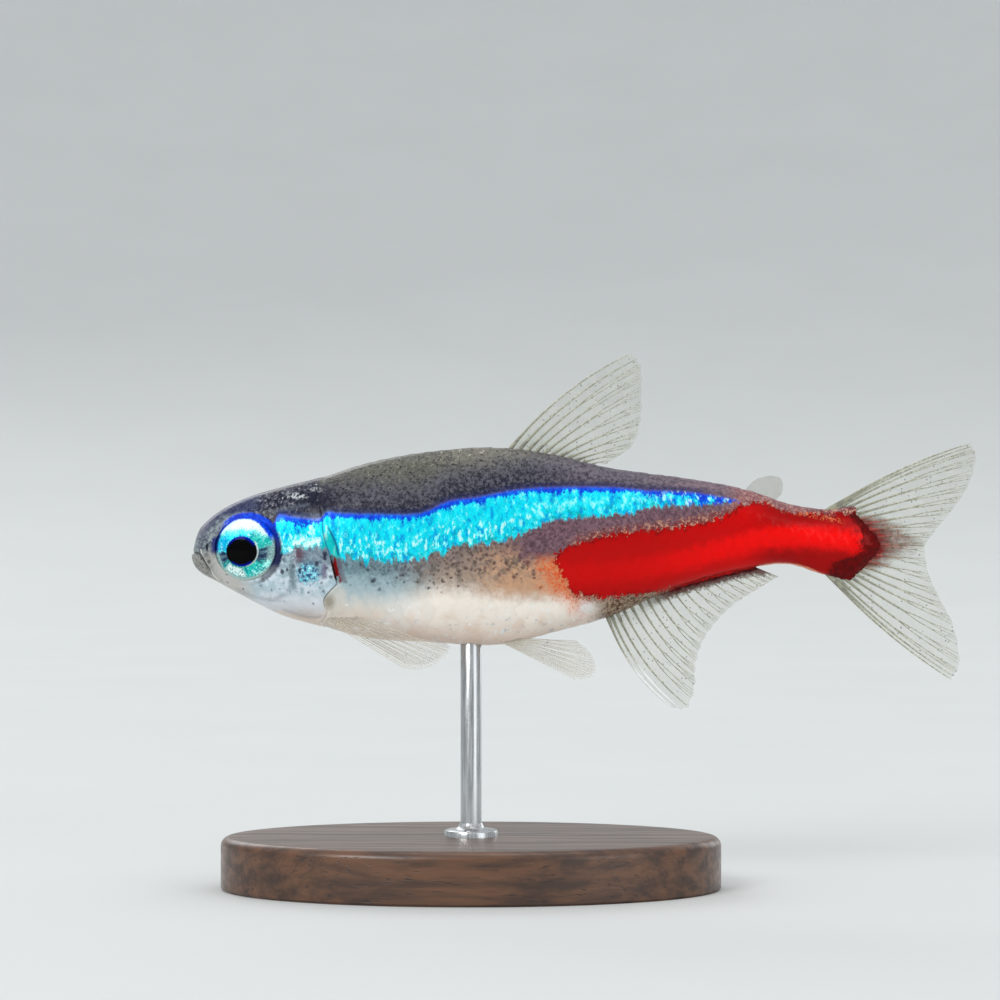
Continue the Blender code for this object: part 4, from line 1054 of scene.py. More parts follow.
# ---- eyes ------------------------------------------------------------------------
def eye_material():
    """The iris: white and cyan crescents over and under the pupil, slate before and behind it."""
    g = Graph("fish_eye", Coat_Weight=0.16, Coat_Roughness=0.03, Coat_IOR=1.36, IOR=1.08)
    r, sine, aft = g.attribute("ring"), g.attribute("turn"), g.attribute("aft")
    p, px, py, pz = g.spot()
    fine = g.noise(p, 17.0, 3, 0.65)
    soft = g.noise(p, 5.0, 3, 0.6)
    rays = g.noise(g.vector(sine * 7.0, aft * 7.0, r * 2.2), 1.0, 4, 0.7)
    feather = (rays - 0.5) * 0.46 + (fine - 0.5) * 0.30
    angle = (soft - 0.5) * 0.5

    silver = g.blend(rgb(112, 156, 160), rgb(164, 192, 190), g.ease(0.38, 0.62, fine))
    slate = g.blend(rgb(30, 48, 80), rgb(88, 118, 136), g.ease(0.38, 0.64, rays))
    iris = g.blend(silver, slate, g.ease(1.02, 0.84, r + feather * 0.6))
    iris = g.blend(iris, slate, g.ease(-0.2, -0.8, aft) * g.ease(1.08, 0.98, r) * 0.8)
    teal = g.blend(rgb(0, 150, 160), rgb(48, 212, 196), g.ease(0.40, 0.60, rays))
    cyan = g.blend(rgb(0, 170, 232), rgb(50, 240, 250), g.ease(0.40, 0.60, rays))
    bright = g.blend(cyan, teal, g.ease(0.1, 0.6, aft + feather))
    over = g.ease(0.00, 0.30, sine + angle + g.ease(0.2, -0.9, aft) * 0.22 + feather * 0.5)
    under = g.ease(0.40, 0.66, -sine + angle + feather * 0.5)
    iris = g.blend(iris, bright, over * g.ease(1.24, 1.14, r + g.ease(0.5, 0.95, aft) * 0.12))
    iris = g.blend(iris, g.blend(rgb(0, 150, 150), teal, g.ease(-0.2, 0.3, aft)), under * g.ease(1.14, 1.02, r + feather * 0.3))
    # white crescent over the pupil, widest towards the back, ragged along both edges
    inner = 0.80 + g.power(g.most(1.0 - sine, 0.0), 1.2) * 0.34 + g.ease(-0.3, -0.9, aft) * 0.10
    crescent = g.ease(-0.03, 0.09, r - inner + feather * 0.75) * g.ease(0.40, 0.62, sine + angle * 0.3 + feather * 0.3)
    crescent = crescent * g.ease(1.19, 1.12, r + feather * 0.35)
    iris = g.blend(iris, rgb(120, 248, 244), g.ease(-0.16, 0.0, r - inner + feather * 0.9) * g.ease(0.36, 0.56, sine + feather * 0.3) * 0.7)
    iris = g.blend(iris, rgb(236, 255, 250), crescent)
    grains = g.ease(0.56, 0.64, g.noise(p, 15.0, 2, 0.7)) * g.ease(0.22, 0.04, g.absolute(r - inner - 0.06))
    iris = g.blend(iris, rgb(60, 226, 236), crescent * grains * 0.8)
    lower = g.ease(0.60, 0.78, -sine + feather * 0.3) * g.ease(0.14, -0.06, aft + angle * 0.5) * g.ease(0.64, 0.74, r + feather * 0.4)
    iris = g.blend(iris, rgb(232, 250, 246), lower * g.ease(1.10, 1.00, r) * g.ease(0.42, 0.50, fine * 0.6 + rays * 0.4))
    arc = g.ease(0.25, 0.45, aft + feather) * g.ease(0.98, 0.88, aft) * g.ease(0.22, 0.45, -sine) * g.ease(0.90, 1.0, r + feather * 0.5) * g.ease(1.17, 1.10, r)
    iris = g.blend(iris, rgb(176, 255, 246), arc * g.ease(0.44, 0.54, fine * 0.5 + rays * 0.5) * 0.95)
    glitter = g.ease(0.58, 0.66, g.noise(p, 13.0, 2, 0.6)) * g.most(over, under) * g.ease(1.2, 1.05, r)
    iris = g.blend(iris, rgb(190, 252, 255), glitter * 0.85)
    iris = g.blend(iris, rgb(186, 206, 202), g.ease(0.5, 0.8, -sine) * g.ease(1.05, 1.12, r) * 0.85)
    # blue fringes: inside the pupil's upper and lower edge, and the rim above and behind
    royal = g.blend(rgb(0, 40, 190), rgb(0, 84, 240), g.ease(0.40, 0.60, fine))
    iris = g.blend(iris, royal, g.ease(1.10, 1.16, r + feather * 0.3 + g.ease(0.1, 0.8, aft) * 0.09) * g.ease(0.20, 0.50, sine))
    iris = g.blend(iris, rgb(10, 16, 78), g.ease(1.10, 1.17, r + feather * 0.2) * g.ease(0.40, 0.65, aft) * g.ease(0.40, 0.15, sine) * g.ease(-0.75, -0.45, sine) * 0.95)
    iris = g.blend(iris, rgb(0, 22, 128), g.ease(1.02, 1.12, r + feather * 0.3) * g.ease(-0.70, -0.88, aft) * g.ease(-0.20, -0.02, sine) * g.ease(0.55, 0.40, sine) * 0.95)
    rim = g.ease(0.036, 0.012, g.absolute(r - PUPIL_RADIUS - 0.018))
    iris = g.blend(iris, rgb(206, 220, 218), rim * g.ease(0.45, 0.75, aft - sine * 0.35) * 0.85)
    pupil = g.ease(PUPIL_RADIUS + 0.012, PUPIL_RADIUS - 0.012, r + (rays - 0.5) * 0.05)
    fringe = g.ease(0.47, 0.60, r + (fine - 0.5) * 0.05) * g.most(g.ease(0.30, 0.70, sine), g.ease(0.62, 0.86, -sine) * 0.9)
    black = g.blend(rgb(0, 0, 1), rgb(0, 26, 170), fringe)
    colour = g.blend(iris, black, pupil)
    metal = (1.0 - pupil) * g.most(over, under) * 0.25
    rough = g.ease(0.3, 0.7, fine, 0.22, 0.36) + pupil * 0.30
    return g.finish(Base_Color=colour, Metallic=metal, Roughness=rough, Normal=g.bump(rays * (1.0 - pupil), 0.000014, 0.5))


def eye(side, material):
    """One eyeball: a flattened dome with the iris as a shallow dish and the lens bulging through it."""
    name = "left" if side < 0 else "right"
    c, s = math.cos(EYE_TURN), math.sin(EYE_TURN)
    turn = np.linspace(0, 2 * math.pi, 128, endpoint=False)
    radii = np.concatenate([np.linspace(0.02, PUPIL_RADIUS - 0.03, 14), PUPIL_RADIUS + np.array([-0.015, 0.0, 0.015, 0.04]),
                            np.linspace(PUPIL_RADIUS + 0.08, 1.10, 16), np.linspace(1.125, 1.235, 8)])
    dome = 0.55 * np.maximum(1 - (radii / EYE_RADIUS) ** 2.5, 0) ** (1 / 2.5)
    dish = -0.050 * ease(PUPIL_RADIUS - 0.02, PUPIL_RADIUS + 0.06, radii) * ease(1.20, 0.75, radii)
    lens = 0.035 * np.maximum(1 - (radii / PUPIL_RADIUS) ** 2, 0)
    depth = dome + dish + lens - 0.02
    back_r = np.linspace(1.22, 0.05, 8)
    radii_all = np.concatenate([radii, [1.24], back_r])
    depth_all = np.concatenate([depth, [0.02], -0.42 * np.maximum(1 - (back_r / EYE_RADIUS) ** 2, 0) ** 0.5])
    shift_x, shift_z = -0.11, -0.10  # the pupil sits a little forward in the iris
    toward = ease(1.15, 0.45, radii_all)
    toward[len(radii):] = 0.0
    a = radii_all[:, None] * np.cos(turn) + (shift_x * toward)[:, None]
    b = radii_all[:, None] * np.sin(turn) * (1 - 0.055 * toward)[:, None] + (shift_z * toward)[:, None]
    d = np.broadcast_to(depth_all[:, None], a.shape)
    x = EYE_CENTRE[0] + a * c - d * s
    y = side * (EYE_OUT + a * s + d * c)
    z = EYE_CENTRE[1] + b
    points = np.stack([x, y, z], axis=-1)
    rows, count = points.shape[:2]
    quads = grid_faces(rows, count, wrap=True)
    tips = np.array([[EYE_CENTRE[0] + shift_x * c - depth[0] * s, side * (EYE_OUT + shift_x * s + depth[0] * c), EYE_CENTRE[1] + shift_z],
                     [EYE_CENTRE[0] + 0.42 * s, side * (EYE_OUT - 0.42 * c), EYE_CENTRE[1]]])
    first = rows * count
    ends = np.arange(count)
    last = (rows - 1) * count
    caps = np.concatenate([np.stack([np.roll(ends, -1), ends, np.full(count, first)], axis=1),
                           np.stack([last + ends, last + np.roll(ends, -1), np.full(count, first + 1)], axis=1)])
    if side > 0:
        quads, caps = quads[:, ::-1], caps[:, ::-1]
    ring = np.concatenate([np.repeat(radii_all, count), [0.0, 0.05]])
    ring[len(radii) * count:first] = 1.24
    sine = np.concatenate([np.tile(np.sin(turn), rows), [0, 0]])
    fore = np.concatenate([np.tile(np.cos(turn), rows), [0, 0]])
    obj = make(f"fish_eye_{name}", place_eye(np.concatenate([points.reshape(-1, 3), tips])), [quads, caps], material,
               fields={"ring": ring, "turn": sine, "aft": fore}, sharp=70)
    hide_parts(f"eye_{name}")
    return obj


def place_eye(p):
    return np.stack([p[..., 0] - ROD_X, p[..., 1], p[..., 2] + AXIS_HEIGHT], axis=-1) * MM


# ---- fins ------------------------------------------------------------------------
def outline(number, top, out):
    """Side outline of the body at station numbers, moved out by a distance."""
    number = np.asarray(number, float)
    pick = 0 if top else 1
    along = station(np.minimum(number + 0.02, COUNT))[pick] - station(np.maximum(number - 0.02, 0))[pick]
    along = along / np.linalg.norm(along, axis=-1, keepdims=True)
    normal = np.stack([-along[..., 1], along[..., 0]], axis=-1) * (1 if top else -1)
    return station(number)[pick] + normal * out


def station_at(x, top):
    edge = station(FINE)[0 if top else 1][:, 0]
    return float(np.interp(x, edge, FINE))


class Fin:
    """A fin's sheet: at(s, t) is its point from the front ray (s = 0) to the last, base to edge."""

    def __init__(self, base, edge, bows, out=None, wave=0.0, waves=2.0, scallop=0.0, rays=12):
        self.base, self.edge, self.bows, self.out = base, edge, bows, out
        self.wave, self.waves, self.scallop, self.rays = wave, waves, scallop, rays

    def flat(self, s, t):
        a, b = self.base(s), self.edge(s)
        ray = b - a
        length = np.linalg.norm(ray, axis=-1, keepdims=True)
        bow = np.stack([-ray[..., 1], ray[..., 0]], axis=-1) / length
        amount = self.bows[0] * (1 - s) ** 2 + self.bows[1] * s ** 2
        return a + ray * t[..., None] + bow * (amount * 4 * t * (1 - t))[..., None]

    def at(self, s, t):
        s, t = np.broadcast_arrays(np.asarray(s, float), np.asarray(t, float))
        xz = self.flat(s, t)
        y = self.out(xz[..., 0], xz[..., 1]) if self.out else np.zeros(s.shape)
        y = y + self.wave * np.maximum(t, 0) ** 1.5 * np.sin(2 * math.pi * self.waves * s + 1.7 * t)
        return np.stack([xz[..., 0], y, xz[..., 1]], axis=-1)


def fin_normal(fin, s, t):
    e = 1e-3
    a = fin.at(s + e, t) - fin.at(s - e, t)
    b = fin.at(s, t + e) - fin.at(s, t - e)
    n = np.cross(a, b)
    return n / np.maximum(np.linalg.norm(n, axis=-1, keepdims=True), 1e-12)


def tube(path, normal, radius, flatten=0.75, sides=8):
    """A closed tapering tube along path. normal is the sheet's; the tube is thinner that way."""
    tangent = np.gradient(path, axis=0)
    tangent /= np.maximum(np.linalg.norm(tangent, axis=1, keepdims=True), 1e-12)
    across = np.cross(tangent, normal)
    across /= np.maximum(np.linalg.norm(across, axis=1, keepdims=True), 1e-12)
    turn = np.linspace(0, 2 * math.pi, sides, endpoint=False)
    ring = (across[:, None] * np.cos(turn)[None, :, None] + normal[:, None] * np.sin(turn)[None, :, None] * flatten)
    points = path[:, None] + ring * radius[:, None, None]
    rows = len(path)
    quads = grid_faces(rows, sides, wrap=True)
    ends = np.arange(sides)
    first = rows * sides
    caps = np.concatenate([np.stack([np.roll(ends, -1), ends, np.full(sides, first)], axis=1),
                           np.stack([(rows - 1) * sides + ends, (rows - 1) * sides + np.roll(ends, -1), np.full(sides, first + 1)], axis=1)])
    points = np.concatenate([points.reshape(-1, 3), path[:1] - tangent[:1] * radius[0], path[-1:] + tangent[-1:] * radius[-1]])
    volume = np.linalg.det(points[caps]).sum() + np.linalg.det(points[quads[:, :3]]).sum() + np.linalg.det(points[quads[:, [0, 2, 3]]]).sum()
    if volume < 0:
        quads, caps = quads[:, ::-1], caps[:, ::-1]
    shares = np.concatenate([np.repeat(np.linspace(0, 1, rows), sides), [0, 1]])
    return points, quads, caps, shares


def build_fin(name, nodes, fin, ray_list, ray_material, web_material, start=-0.06, thick=0.045, web_from=-0.03, reach=0.985,
              spine=0, forks=2, steps=44, white=0):
    """A fin's web as a thin closed sheet and its rays as joined, branching tubes."""
    per_ray = 7
    ns = max(24, len(ray_list) * per_ray)
    s = np.linspace(0.0, 1.0, ns + 1)
    t = np.linspace(0, 1, 34)
    place_in = np.interp(s, ray_list, np.arange(len(ray_list)))
    notch = np.abs(np.sin(math.pi * place_in)) ** 1.3
    edge = 1.0 - fin.scallop * notch
    tt = web_from + (edge[:, None] - web_from) * t[None, :]
    ss = np.broadcast_to(s[:, None], tt.shape)
    mid, normal = fin.at(ss, tt), fin_normal(fin, ss, tt)
    sheet = (0.016 * (1 - 0.70 * t)[None, :, None]) * normal
    front, back = mid + sheet, mid - sheet
    count = front.shape[0] * front.shape[1]
    rows, columns = front.shape[:2]
    quads = grid_faces(rows, columns)
    rim = np.array(list(range(0, columns)) + [r * columns + columns - 1 for r in range(1, rows)]
                   + [(rows - 1) * columns + c for c in range(columns - 2, -1, -1)] + [r * columns for r in range(rows - 2, 0, -1)])
    wall = np.stack([rim, np.roll(rim, -1), np.roll(rim, -1) + count, rim + count], axis=1)
    faces = np.concatenate([quads, quads[:, ::-1] + count, wall[:, ::-1]])
    points = np.concatenate([front.reshape(-1, 3), back.reshape(-1, 3)])
    tri = points[faces[:, [0, 1, 2]]], points[faces[:, [0, 2, 3]]]
    if sum(np.linalg.det(q).sum() for q in tri) < 0:
        faces = faces[:, ::-1]
    share = np.tile(np.broadcast_to(t[None, :], ss.shape).ravel(), 2)
    line = np.tile(np.broadcast_to(notch[:, None], ss.shape).ravel(), 2)
    web = make(f"{name}_web", place(points), faces, web_material, fields={"reach": share, "between": line}, sharp=60)
    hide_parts(*nodes)

    all_points, all_quads, all_caps, total = [], [], [], 0
    fields = {"reach": [], "lead": [], "run": []}

    def add_ray(s_path, t_path, radius, lead=0.0):
        nonlocal total
        radius = radius * (1.0 + 0.8 * np.clip(1 - t_path / 0.16, 0, 1) ** 1.5)
        path, normal = fin.at(s_path, t_path), fin_normal(fin, s_path, t_path)
        pts, q, c, sh = tube(path, normal, radius)
        all_points.append(pts)
        all_quads.append(q + total)
        all_caps.append(c + total)
        here = np.interp(sh, np.linspace(0, 1, len(t_path)), t_path)
        fields["reach"].append(here)
        fields["lead"].append(lead * ease(0.30, 0.60, here))
        length = float(np.linalg.norm(np.diff(path, axis=0), axis=1).sum()) / max(t_path[-1] - t_path[0], 1e-6)
        fields["run"].append(here * length)
        total += len(pts)

    gaps = np.gradient(np.asarray(ray_list, float))
    for i, s0 in enumerate(ray_list):
        gap = gaps[i]
        tip = reach - fin.scallop * 0.3
        length = float(np.linalg.norm(fin.at(s0, 1.0) - fin.at(s0, 0.0)))
        scale = min(1.0, 0.55 + length / 6.0)
        if i <= spine:
            t_path = np.linspace(start, tip, steps)
            radius = thick * scale * (1.15 - 0.80 * np.clip(t_path, 0, 1) ** 1.2)
            if i < white:
                radius = radius * (1 + 0.9 * ease(0.35, 0.7, t_path) * ease(1.0, 0.86, t_path))
            add_ray(np.full(steps, s0), t_path, radius, 1.0 if i < white else 0.0)
            continue
        fork, fork2 = 0.42 + 0.05 * math.sin(i * 2.1), 0.70 + 0.04 * math.sin(i * 1.3)
        if forks == 1:
            fork2 = tip
        t_path = np.linspace(start, fork + 0.02, steps // 2)
        radius = thick * scale * (1.0 - 0.45 * np.clip(t_path, 0, 1))
        add_ray(np.full(len(t_path), s0), t_path, radius)
        for sign in (-1, 1):
            t_path = np.linspace(fork, fork2 + (0.01 if forks == 2 else 0.0), steps // 3)
            apart = gap * (0.17 if forks == 2 else 0.22) * ease(fork, fork2, t_path)
            radius = thick * scale * 0.58 * (1.0 - 0.30 * (t_path - fork) / (fork2 - fork))
            add_ray(np.clip(s0 + sign * apart, 0.002, 0.998), t_path, radius)
            for sign2 in (-1, 1) if forks == 2 else ():
                t_path = np.linspace(fork2, tip, steps // 3)
                more = gap * 0.11 * ease(fork2, 1.0, t_path)
                radius = thick * scale * 0.36 * (1.0 - 0.45 * (t_path - fork2) / (1 - fork2))
                add_ray(np.clip(s0 + sign * gap * 0.17 + sign2 * more, 0.002, 0.998), t_path, radius)
    rays = make(f"{name}_rays", place(np.concatenate(all_points)), [np.concatenate(all_quads), np.concatenate(all_caps)],
                ray_material, fields={k: np.concatenate(v) for k, v in fields.items()}, sharp=70)
    return web, rays


def edge_curve(points, at=None):
    return Smooth(points, at)


def on_outline(ends, top, out=0.0):
    first, last = (station_at(x, top) for x in ends)
    return lambda s: outline(first + (last - first) * s, top, out)


def tail_red(g, p, x, z):
    """How far the red of the tail stalk runs out on the tail fin: furthest between its lobes."""
    away = g.absolute(z - 0.12)
    streaks = g.noise(g.vector(x * 0.7, 0.0, (z - 0.05) * 5.0), 1.0, 3, 0.7) - 0.5
    reach = g.ease(28.4, 26.2, x + (g.noise(p, 2.6, 3, 0.65) - 0.5) * 1.1 + streaks * 1.9 + g.power(away, 1.3) * 1.2)
    return g.power(reach, 1.3) * g.ease(24.6, 25.0, x) * g.ease(1.20, 0.80, away)


def anal_band(g, x, z, noise):
    """The dark red band along the anal fin's root, close under the body."""
    line = g.curve(x, ((15.9, -2.67), (17.2, -2.10), (18.39, -1.59), (19.8, -1.19), (21.09, -0.87), (22.4, -0.74)))
    return g.ease(0.42, 0.16, line - z + (noise - 0.5) * 0.5) * g.ease(16.8, 18.4, x) * g.ease(22.6, 21.9, x) * g.ease(0.5, -0.3, z)


def fin_materials(name="fin", rays_alpha=1.0, web_share=1.0, pale=0.0):
    """(rays, web) for the clear fins. The rays of the paired fins are clearer too."""
    g = Graph(f"{name}_rays", IOR=1.36, Coat_Weight=0.2, Coat_Roughness=0.2, Alpha=rays_alpha)
    p, px, py, pz = g.spot()
    x, z = px + ROD_X, pz - AXIS_HEIGHT
    mottle = g.noise(p, 5.0, 3, 0.6)
    run, reach = g.attribute("run"), g.attribute("reach")
    joint = g.absolute(g.math("FRACT", run * 5.2) - 0.5)
    colour = g.blend(rgb(150, 150, 128), rgb(196, 196, 176), g.ease(0.35, 0.65, mottle))
    colour = g.blend(colour, rgb(84, 84, 72), g.ease(0.14, 0.04, joint) * g.ease(0.10, 0.25, reach) * 0.40)
    colour = g.blend(colour, rgb(88, 86, 76), g.ease(0.45, 0.05, reach) * g.ease(0.40, 0.60, mottle) * 0.75)
    red = tail_red(g, p, x, z)
    colour = g.blend(colour, g.blend(rgb(104, 6, 6), rgb(168, 30, 18), g.ease(0.4, 0.6, mottle)), red * 0.95)
    anal = anal_band(g, x, z, mottle)
    colour = g.blend(colour, rgb(84, 14, 12), anal * 0.85)
    colour = g.blend(colour, rgb(240, 243, 242), g.attribute("lead"))
    colour = g.blend(colour, rgb(232, 222, 206), pale)
    rays = g.finish(Base_Color=colour, Roughness=g.ease(0.3, 0.7, mottle, 0.28, 0.42))

    g = Graph(f"{name}_web", IOR=1.30, Roughness=0.25)
    p, px, py, pz = g.spot()
    x, z = px + ROD_X, pz - AXIS_HEIGHT
    mottle = g.noise(p, 2.4, 3, 0.6)
    fine = g.noise(p, 9.0, 3, 0.65)
    specks, chance, _ = g.cells(p, 7.0)
    speck = g.ease(0.26, 0.16, specks) * g.less(chance, 0.30)
    reach = g.attribute("reach")
    colour = g.blend(rgb(150, 156, 134), rgb(192, 196, 178), g.ease(0.35, 0.65, mottle))
    colour = g.blend(colour, rgb(60, 62, 52), speck * 0.8)
    red = tail_red(g, p, x, z)
    colour = g.blend(colour, g.blend(rgb(84, 3, 3), rgb(132, 16, 10), g.ease(0.4, 0.6, fine)), red)
    anal = anal_band(g, x, z, fine)
    colour = g.blend(colour, rgb(84, 10, 10), anal * 0.95)
    alpha = (g.ease(0.30, 0.0, reach, 0.13, 0.30) + speck * 0.35 + (mottle - 0.5) * 0.12) * web_share + red * 0.82 + anal * 0.62
    colour = g.blend(colour, rgb(226, 218, 204), pale)
    web = g.finish(Base_Color=colour, Alpha=g.math("MINIMUM", alpha, 0.94))
    return rays, web


def tail_flesh(rays, corner):
    """Small-scaled flesh that runs out on the tail fin's rays in ragged fingers, furthest near the fork."""
    s = np.linspace(0.0, 1.0, 241)
    at = np.interp(s, rays, np.arange(len(rays)))
    finger = np.abs(np.cos(math.pi * at)) ** 1.6
    ripple = 0.5 + 0.3 * np.sin(at * 5.3) + 0.2 * np.sin(at * 2.1 + 1.0)
    end = 0.012 + corner * ease(0.12, 0.27, s) * ease(0.46, 0.30, s) + 0.040 * ease(0.55, 0.85, s) + 0.115 * ease(0.72, 1.0, s)
    return s, end + (0.006 + 0.040 * ease(0.45, 0.9, s)) * finger * ripple


def anal_flesh(fin):
    """The low ridge of flesh along the anal fin's root: (shares along the base, how far out it reaches)."""
    s = np.linspace(0.30, 1.0, 221)
    length = np.linalg.norm(fin.at(s, np.ones_like(s)) - fin.at(s, np.zeros_like(s)), axis=-1)
    wave = 0.5 + 0.3 * np.sin(s * 57.0) + 0.2 * np.sin(s * 131.0 + 1.0)
    reach = (0.06 + 0.09 * ease(0.40, 0.85, s) + 0.07 * wave) * ease(0.30, 0.42, s)
    return s, np.minimum(reach / length, 0.5)


def root(name, fin, s, end, material, thick=(0.16, 0.10), start=-0.10):
    """A closed lobe of flesh over a fin's base, from under the skin out to the shares `end` of its rays."""
    t = np.linspace(0, 1, 26)
    tt = start + (end[:, None] - start) * t[None, :]
    ss = np.broadcast_to(s[:, None], tt.shape)
    mid, normal = fin.at(ss, tt), fin_normal(fin, ss, tt)
    body_y = thick[0] + thick[1] * s[:, None]
    half = body_y * (1 - t[None, :] ** 1.4) ** 0.9 + 0.022
    front, back = mid + normal * half[..., None], mid - normal * half[..., None]
    rows, columns = front.shape[:2]
    count = rows * columns
    quads = grid_faces(rows, columns)
    rim = np.array(list(range(0, columns)) + [r * columns + columns - 1 for r in range(1, rows)]
                   + [(rows - 1) * columns + c for c in range(columns - 2, -1, -1)] + [r * columns for r in range(rows - 2, 0, -1)])
    wall = np.stack([rim, np.roll(rim, -1), np.roll(rim, -1) + count, rim + count], axis=1)
    faces = np.concatenate([quads, quads[:, ::-1] + count, wall[:, ::-1]])
    points = np.concatenate([front.reshape(-1, 3), back.reshape(-1, 3)])
    if np.linalg.det(points[faces[:, [0, 1, 2]]]).sum() + np.linalg.det(points[faces[:, [0, 2, 3]]]).sum() < 0:
        faces = faces[:, ::-1]
    obj = make(name, place(points), faces, material, sharp=80)


# ---- putting it together ---------------------------------------------------------
fish = fish_material()
skin_object, measures = build_skin(fish)
for side, label in ((-1, "left"), (1, "right")):
    for upper, half in ((True, "upper"), (False, "lower")):
        coat_piece(f"scales_{label}_{half}", side, upper, fish, measures, 11 + (2 if upper else 0) + (side + 1))

eye_made = eye_material()
for side in (-1, 1):
    eye(side, eye_made)

rays_made, web_made = fin_materials()
paired_rays, paired_web = fin_materials("paired_fin", 0.38, 0.50, 0.70)
dorsal = Fin(on_outline(DORSAL_BASE, True), edge_curve(DORSAL_EDGE), DORSAL_BOW, wave=0.05, waves=1.5, scallop=0.012)
build_fin("dorsal_fin", ["dorsal_fin"], dorsal, np.linspace(0.004, 0.985, 11) ** 0.96, rays_made, web_made, spine=1, thick=0.040)
anal = Fin(on_outline(ANAL_BASE, False), edge_curve(ANAL_EDGE, ANAL_EDGE_AT), ANAL_BOW, wave=0.06, waves=2.0, scallop=0.022)
build_fin("anal_fin", ["anal_fin"], anal, np.concatenate([[0.004, 0.035, 0.075], np.linspace(0.12, 0.985, 17)]), rays_made, web_made,
          spine=2, thick=0.040, white=2)


def tail_base(top):
    last = COUNT - 0.004
    aim = 0.030 if top else 0.046  # the two webs meet in the middle, a hair over each other

    def base(s):
        q = outline(CAUDAL_FROM + (last - CAUDAL_FROM) * np.clip(s, 0, 1), top, 0.0)
        end = outline(last, top, 0.0)[1]
        return np.stack([q[..., 0], q[..., 1] + (aim - end) * ease(0.9, 1.0, s)], axis=-1)
    return base


upper = Fin(tail_base(True), edge_curve(CAUDAL_UPPER_EDGE), CAUDAL_BOW, wave=0.05, waves=1.0, scallop=0.010)
lower = Fin(tail_base(False), edge_curve(CAUDAL_LOWER_EDGE), (-CAUDAL_BOW[0], 0.0), wave=-0.05, waves=1.0, scallop=0.010)
tail_rays = np.concatenate([[0.004, 0.05], np.linspace(0.115, 0.985, 9)])
build_fin("caudal_fin_upper", ["caudal_fin_upper"], upper, tail_rays, rays_made, web_made, spine=1, thick=0.044, start=-0.10)
build_fin("caudal_fin_lower", ["caudal_fin_lower"], lower, tail_rays, rays_made, web_made, spine=1, thick=0.044, start=-0.10)

root("tail_root_upper", upper, *tail_flesh(tail_rays, 0.045), fish)
root("tail_root_lower", lower, *tail_flesh(tail_rays, 0.018), fish)
root("anal_root", anal, *anal_flesh(anal), fish, thick=(0.13, -0.05))

for side, label in ((-1, "left"), (1, "right")):
    pectoral = Fin(Smooth(PECTORAL_BASE), edge_curve(PECTORAL_EDGE), (0.0, 0.0),
                   lambda x, z, side=side: side * (PECTORAL_OUT + PECTORAL_SPLAY * (x - 5.45) + PECTORAL_TILT * (-2.7 - z)),
                   wave=0.03, waves=1.2, scallop=0.012)
    build_fin(f"pectoral_fin_{label}", [f"pectoral_fin_{label}"], pectoral, np.linspace(0.02, 0.98, 10), paired_rays, paired_web,
              spine=0, thick=0.020, forks=1)
    pelvic = Fin(Smooth(PELVIC_BASE), edge_curve(PELVIC_EDGE), (0.0, 0.0),
                 lambda x, z, side=side: side * (PELVIC_OUT + PELVIC_SPLAY * (x - 11.8) + PELVIC_TILT * (-3.6 - z)),
                 wave=0.03, waves=1.0, scallop=0.014)
    build_fin(f"pelvic_fin_{label}", [f"pelvic_fin_{label}"], pelvic, np.linspace(0.02, 0.98, 8), paired_rays, paired_web,
              spine=0, thick=0.022, forks=1)


# The adipose fin has no rays: a small soft flap.
def adipose(material):
    fin = Fin(on_outline(ADIPOSE_BASE, True, -0.06), edge_curve(ADIPOSE_EDGE), ADIPOSE_BOW)
    s, t = np.linspace(0, 1, 40), np.linspace(0, 1, 24)
    ss, tt = np.meshgrid(s, t, indexing="ij")
    mid, normal = fin.at(ss, tt), fin_normal(fin, ss, tt)
    half = 0.048 * np.sqrt(np.maximum(1 - tt ** 2.0, 0)) * np.minimum(1, np.sqrt(np.sin(math.pi * np.clip(ss, 0.004, 0.996))) * 1.1) + 0.004
    front, back = mid + normal * half[..., None], mid - normal * half[..., None]
    rows, columns = ss.shape
    count = rows * columns
    quads = grid_faces(rows, columns)
    rim = np.array(list(range(0, columns)) + [r * columns + columns - 1 for r in range(1, rows)]
                   + [(rows - 1) * columns + c for c in range(columns - 2, -1, -1)] + [r * columns for r in range(rows - 2, 0, -1)])
    wall = np.stack([rim, np.roll(rim, -1), np.roll(rim, -1) + count, rim + count], axis=1)
    faces = np.concatenate([quads, quads[:, ::-1] + count, wall[:, ::-1]])
    points = np.concatenate([front.reshape(-1, 3), back.reshape(-1, 3)])
    if np.linalg.det(points[faces[:, [0, 1, 2]]]).sum() + np.linalg.det(points[faces[:, [0, 2, 3]]]).sum() < 0:
        faces = faces[:, ::-1]
    obj = make("adipose_fin_flap", place(points), faces, material, fields={"reach": np.tile(tt.ravel(), 2)}, sharp=80)
    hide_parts("adipose_fin")


def adipose_material():
    g = Graph("adipose_flap", IOR=1.20, Roughness=0.45, Alpha=0.20)
    p, px, py, pz = g.spot()
    mottle = g.noise(p, 3.4, 3, 0.6)
    specks, chance, _ = g.cells(p, 9.0)
    colour = g.blend(rgb(124, 120, 98), rgb(160, 160, 138), g.ease(0.35, 0.65, mottle))
    colour = g.blend(colour, rgb(70, 60, 58), g.ease(0.42, 0.22, specks) * g.less(chance, 0.4) * 0.8)
    return g.finish(Base_Color=colour)


adipose(adipose_material())


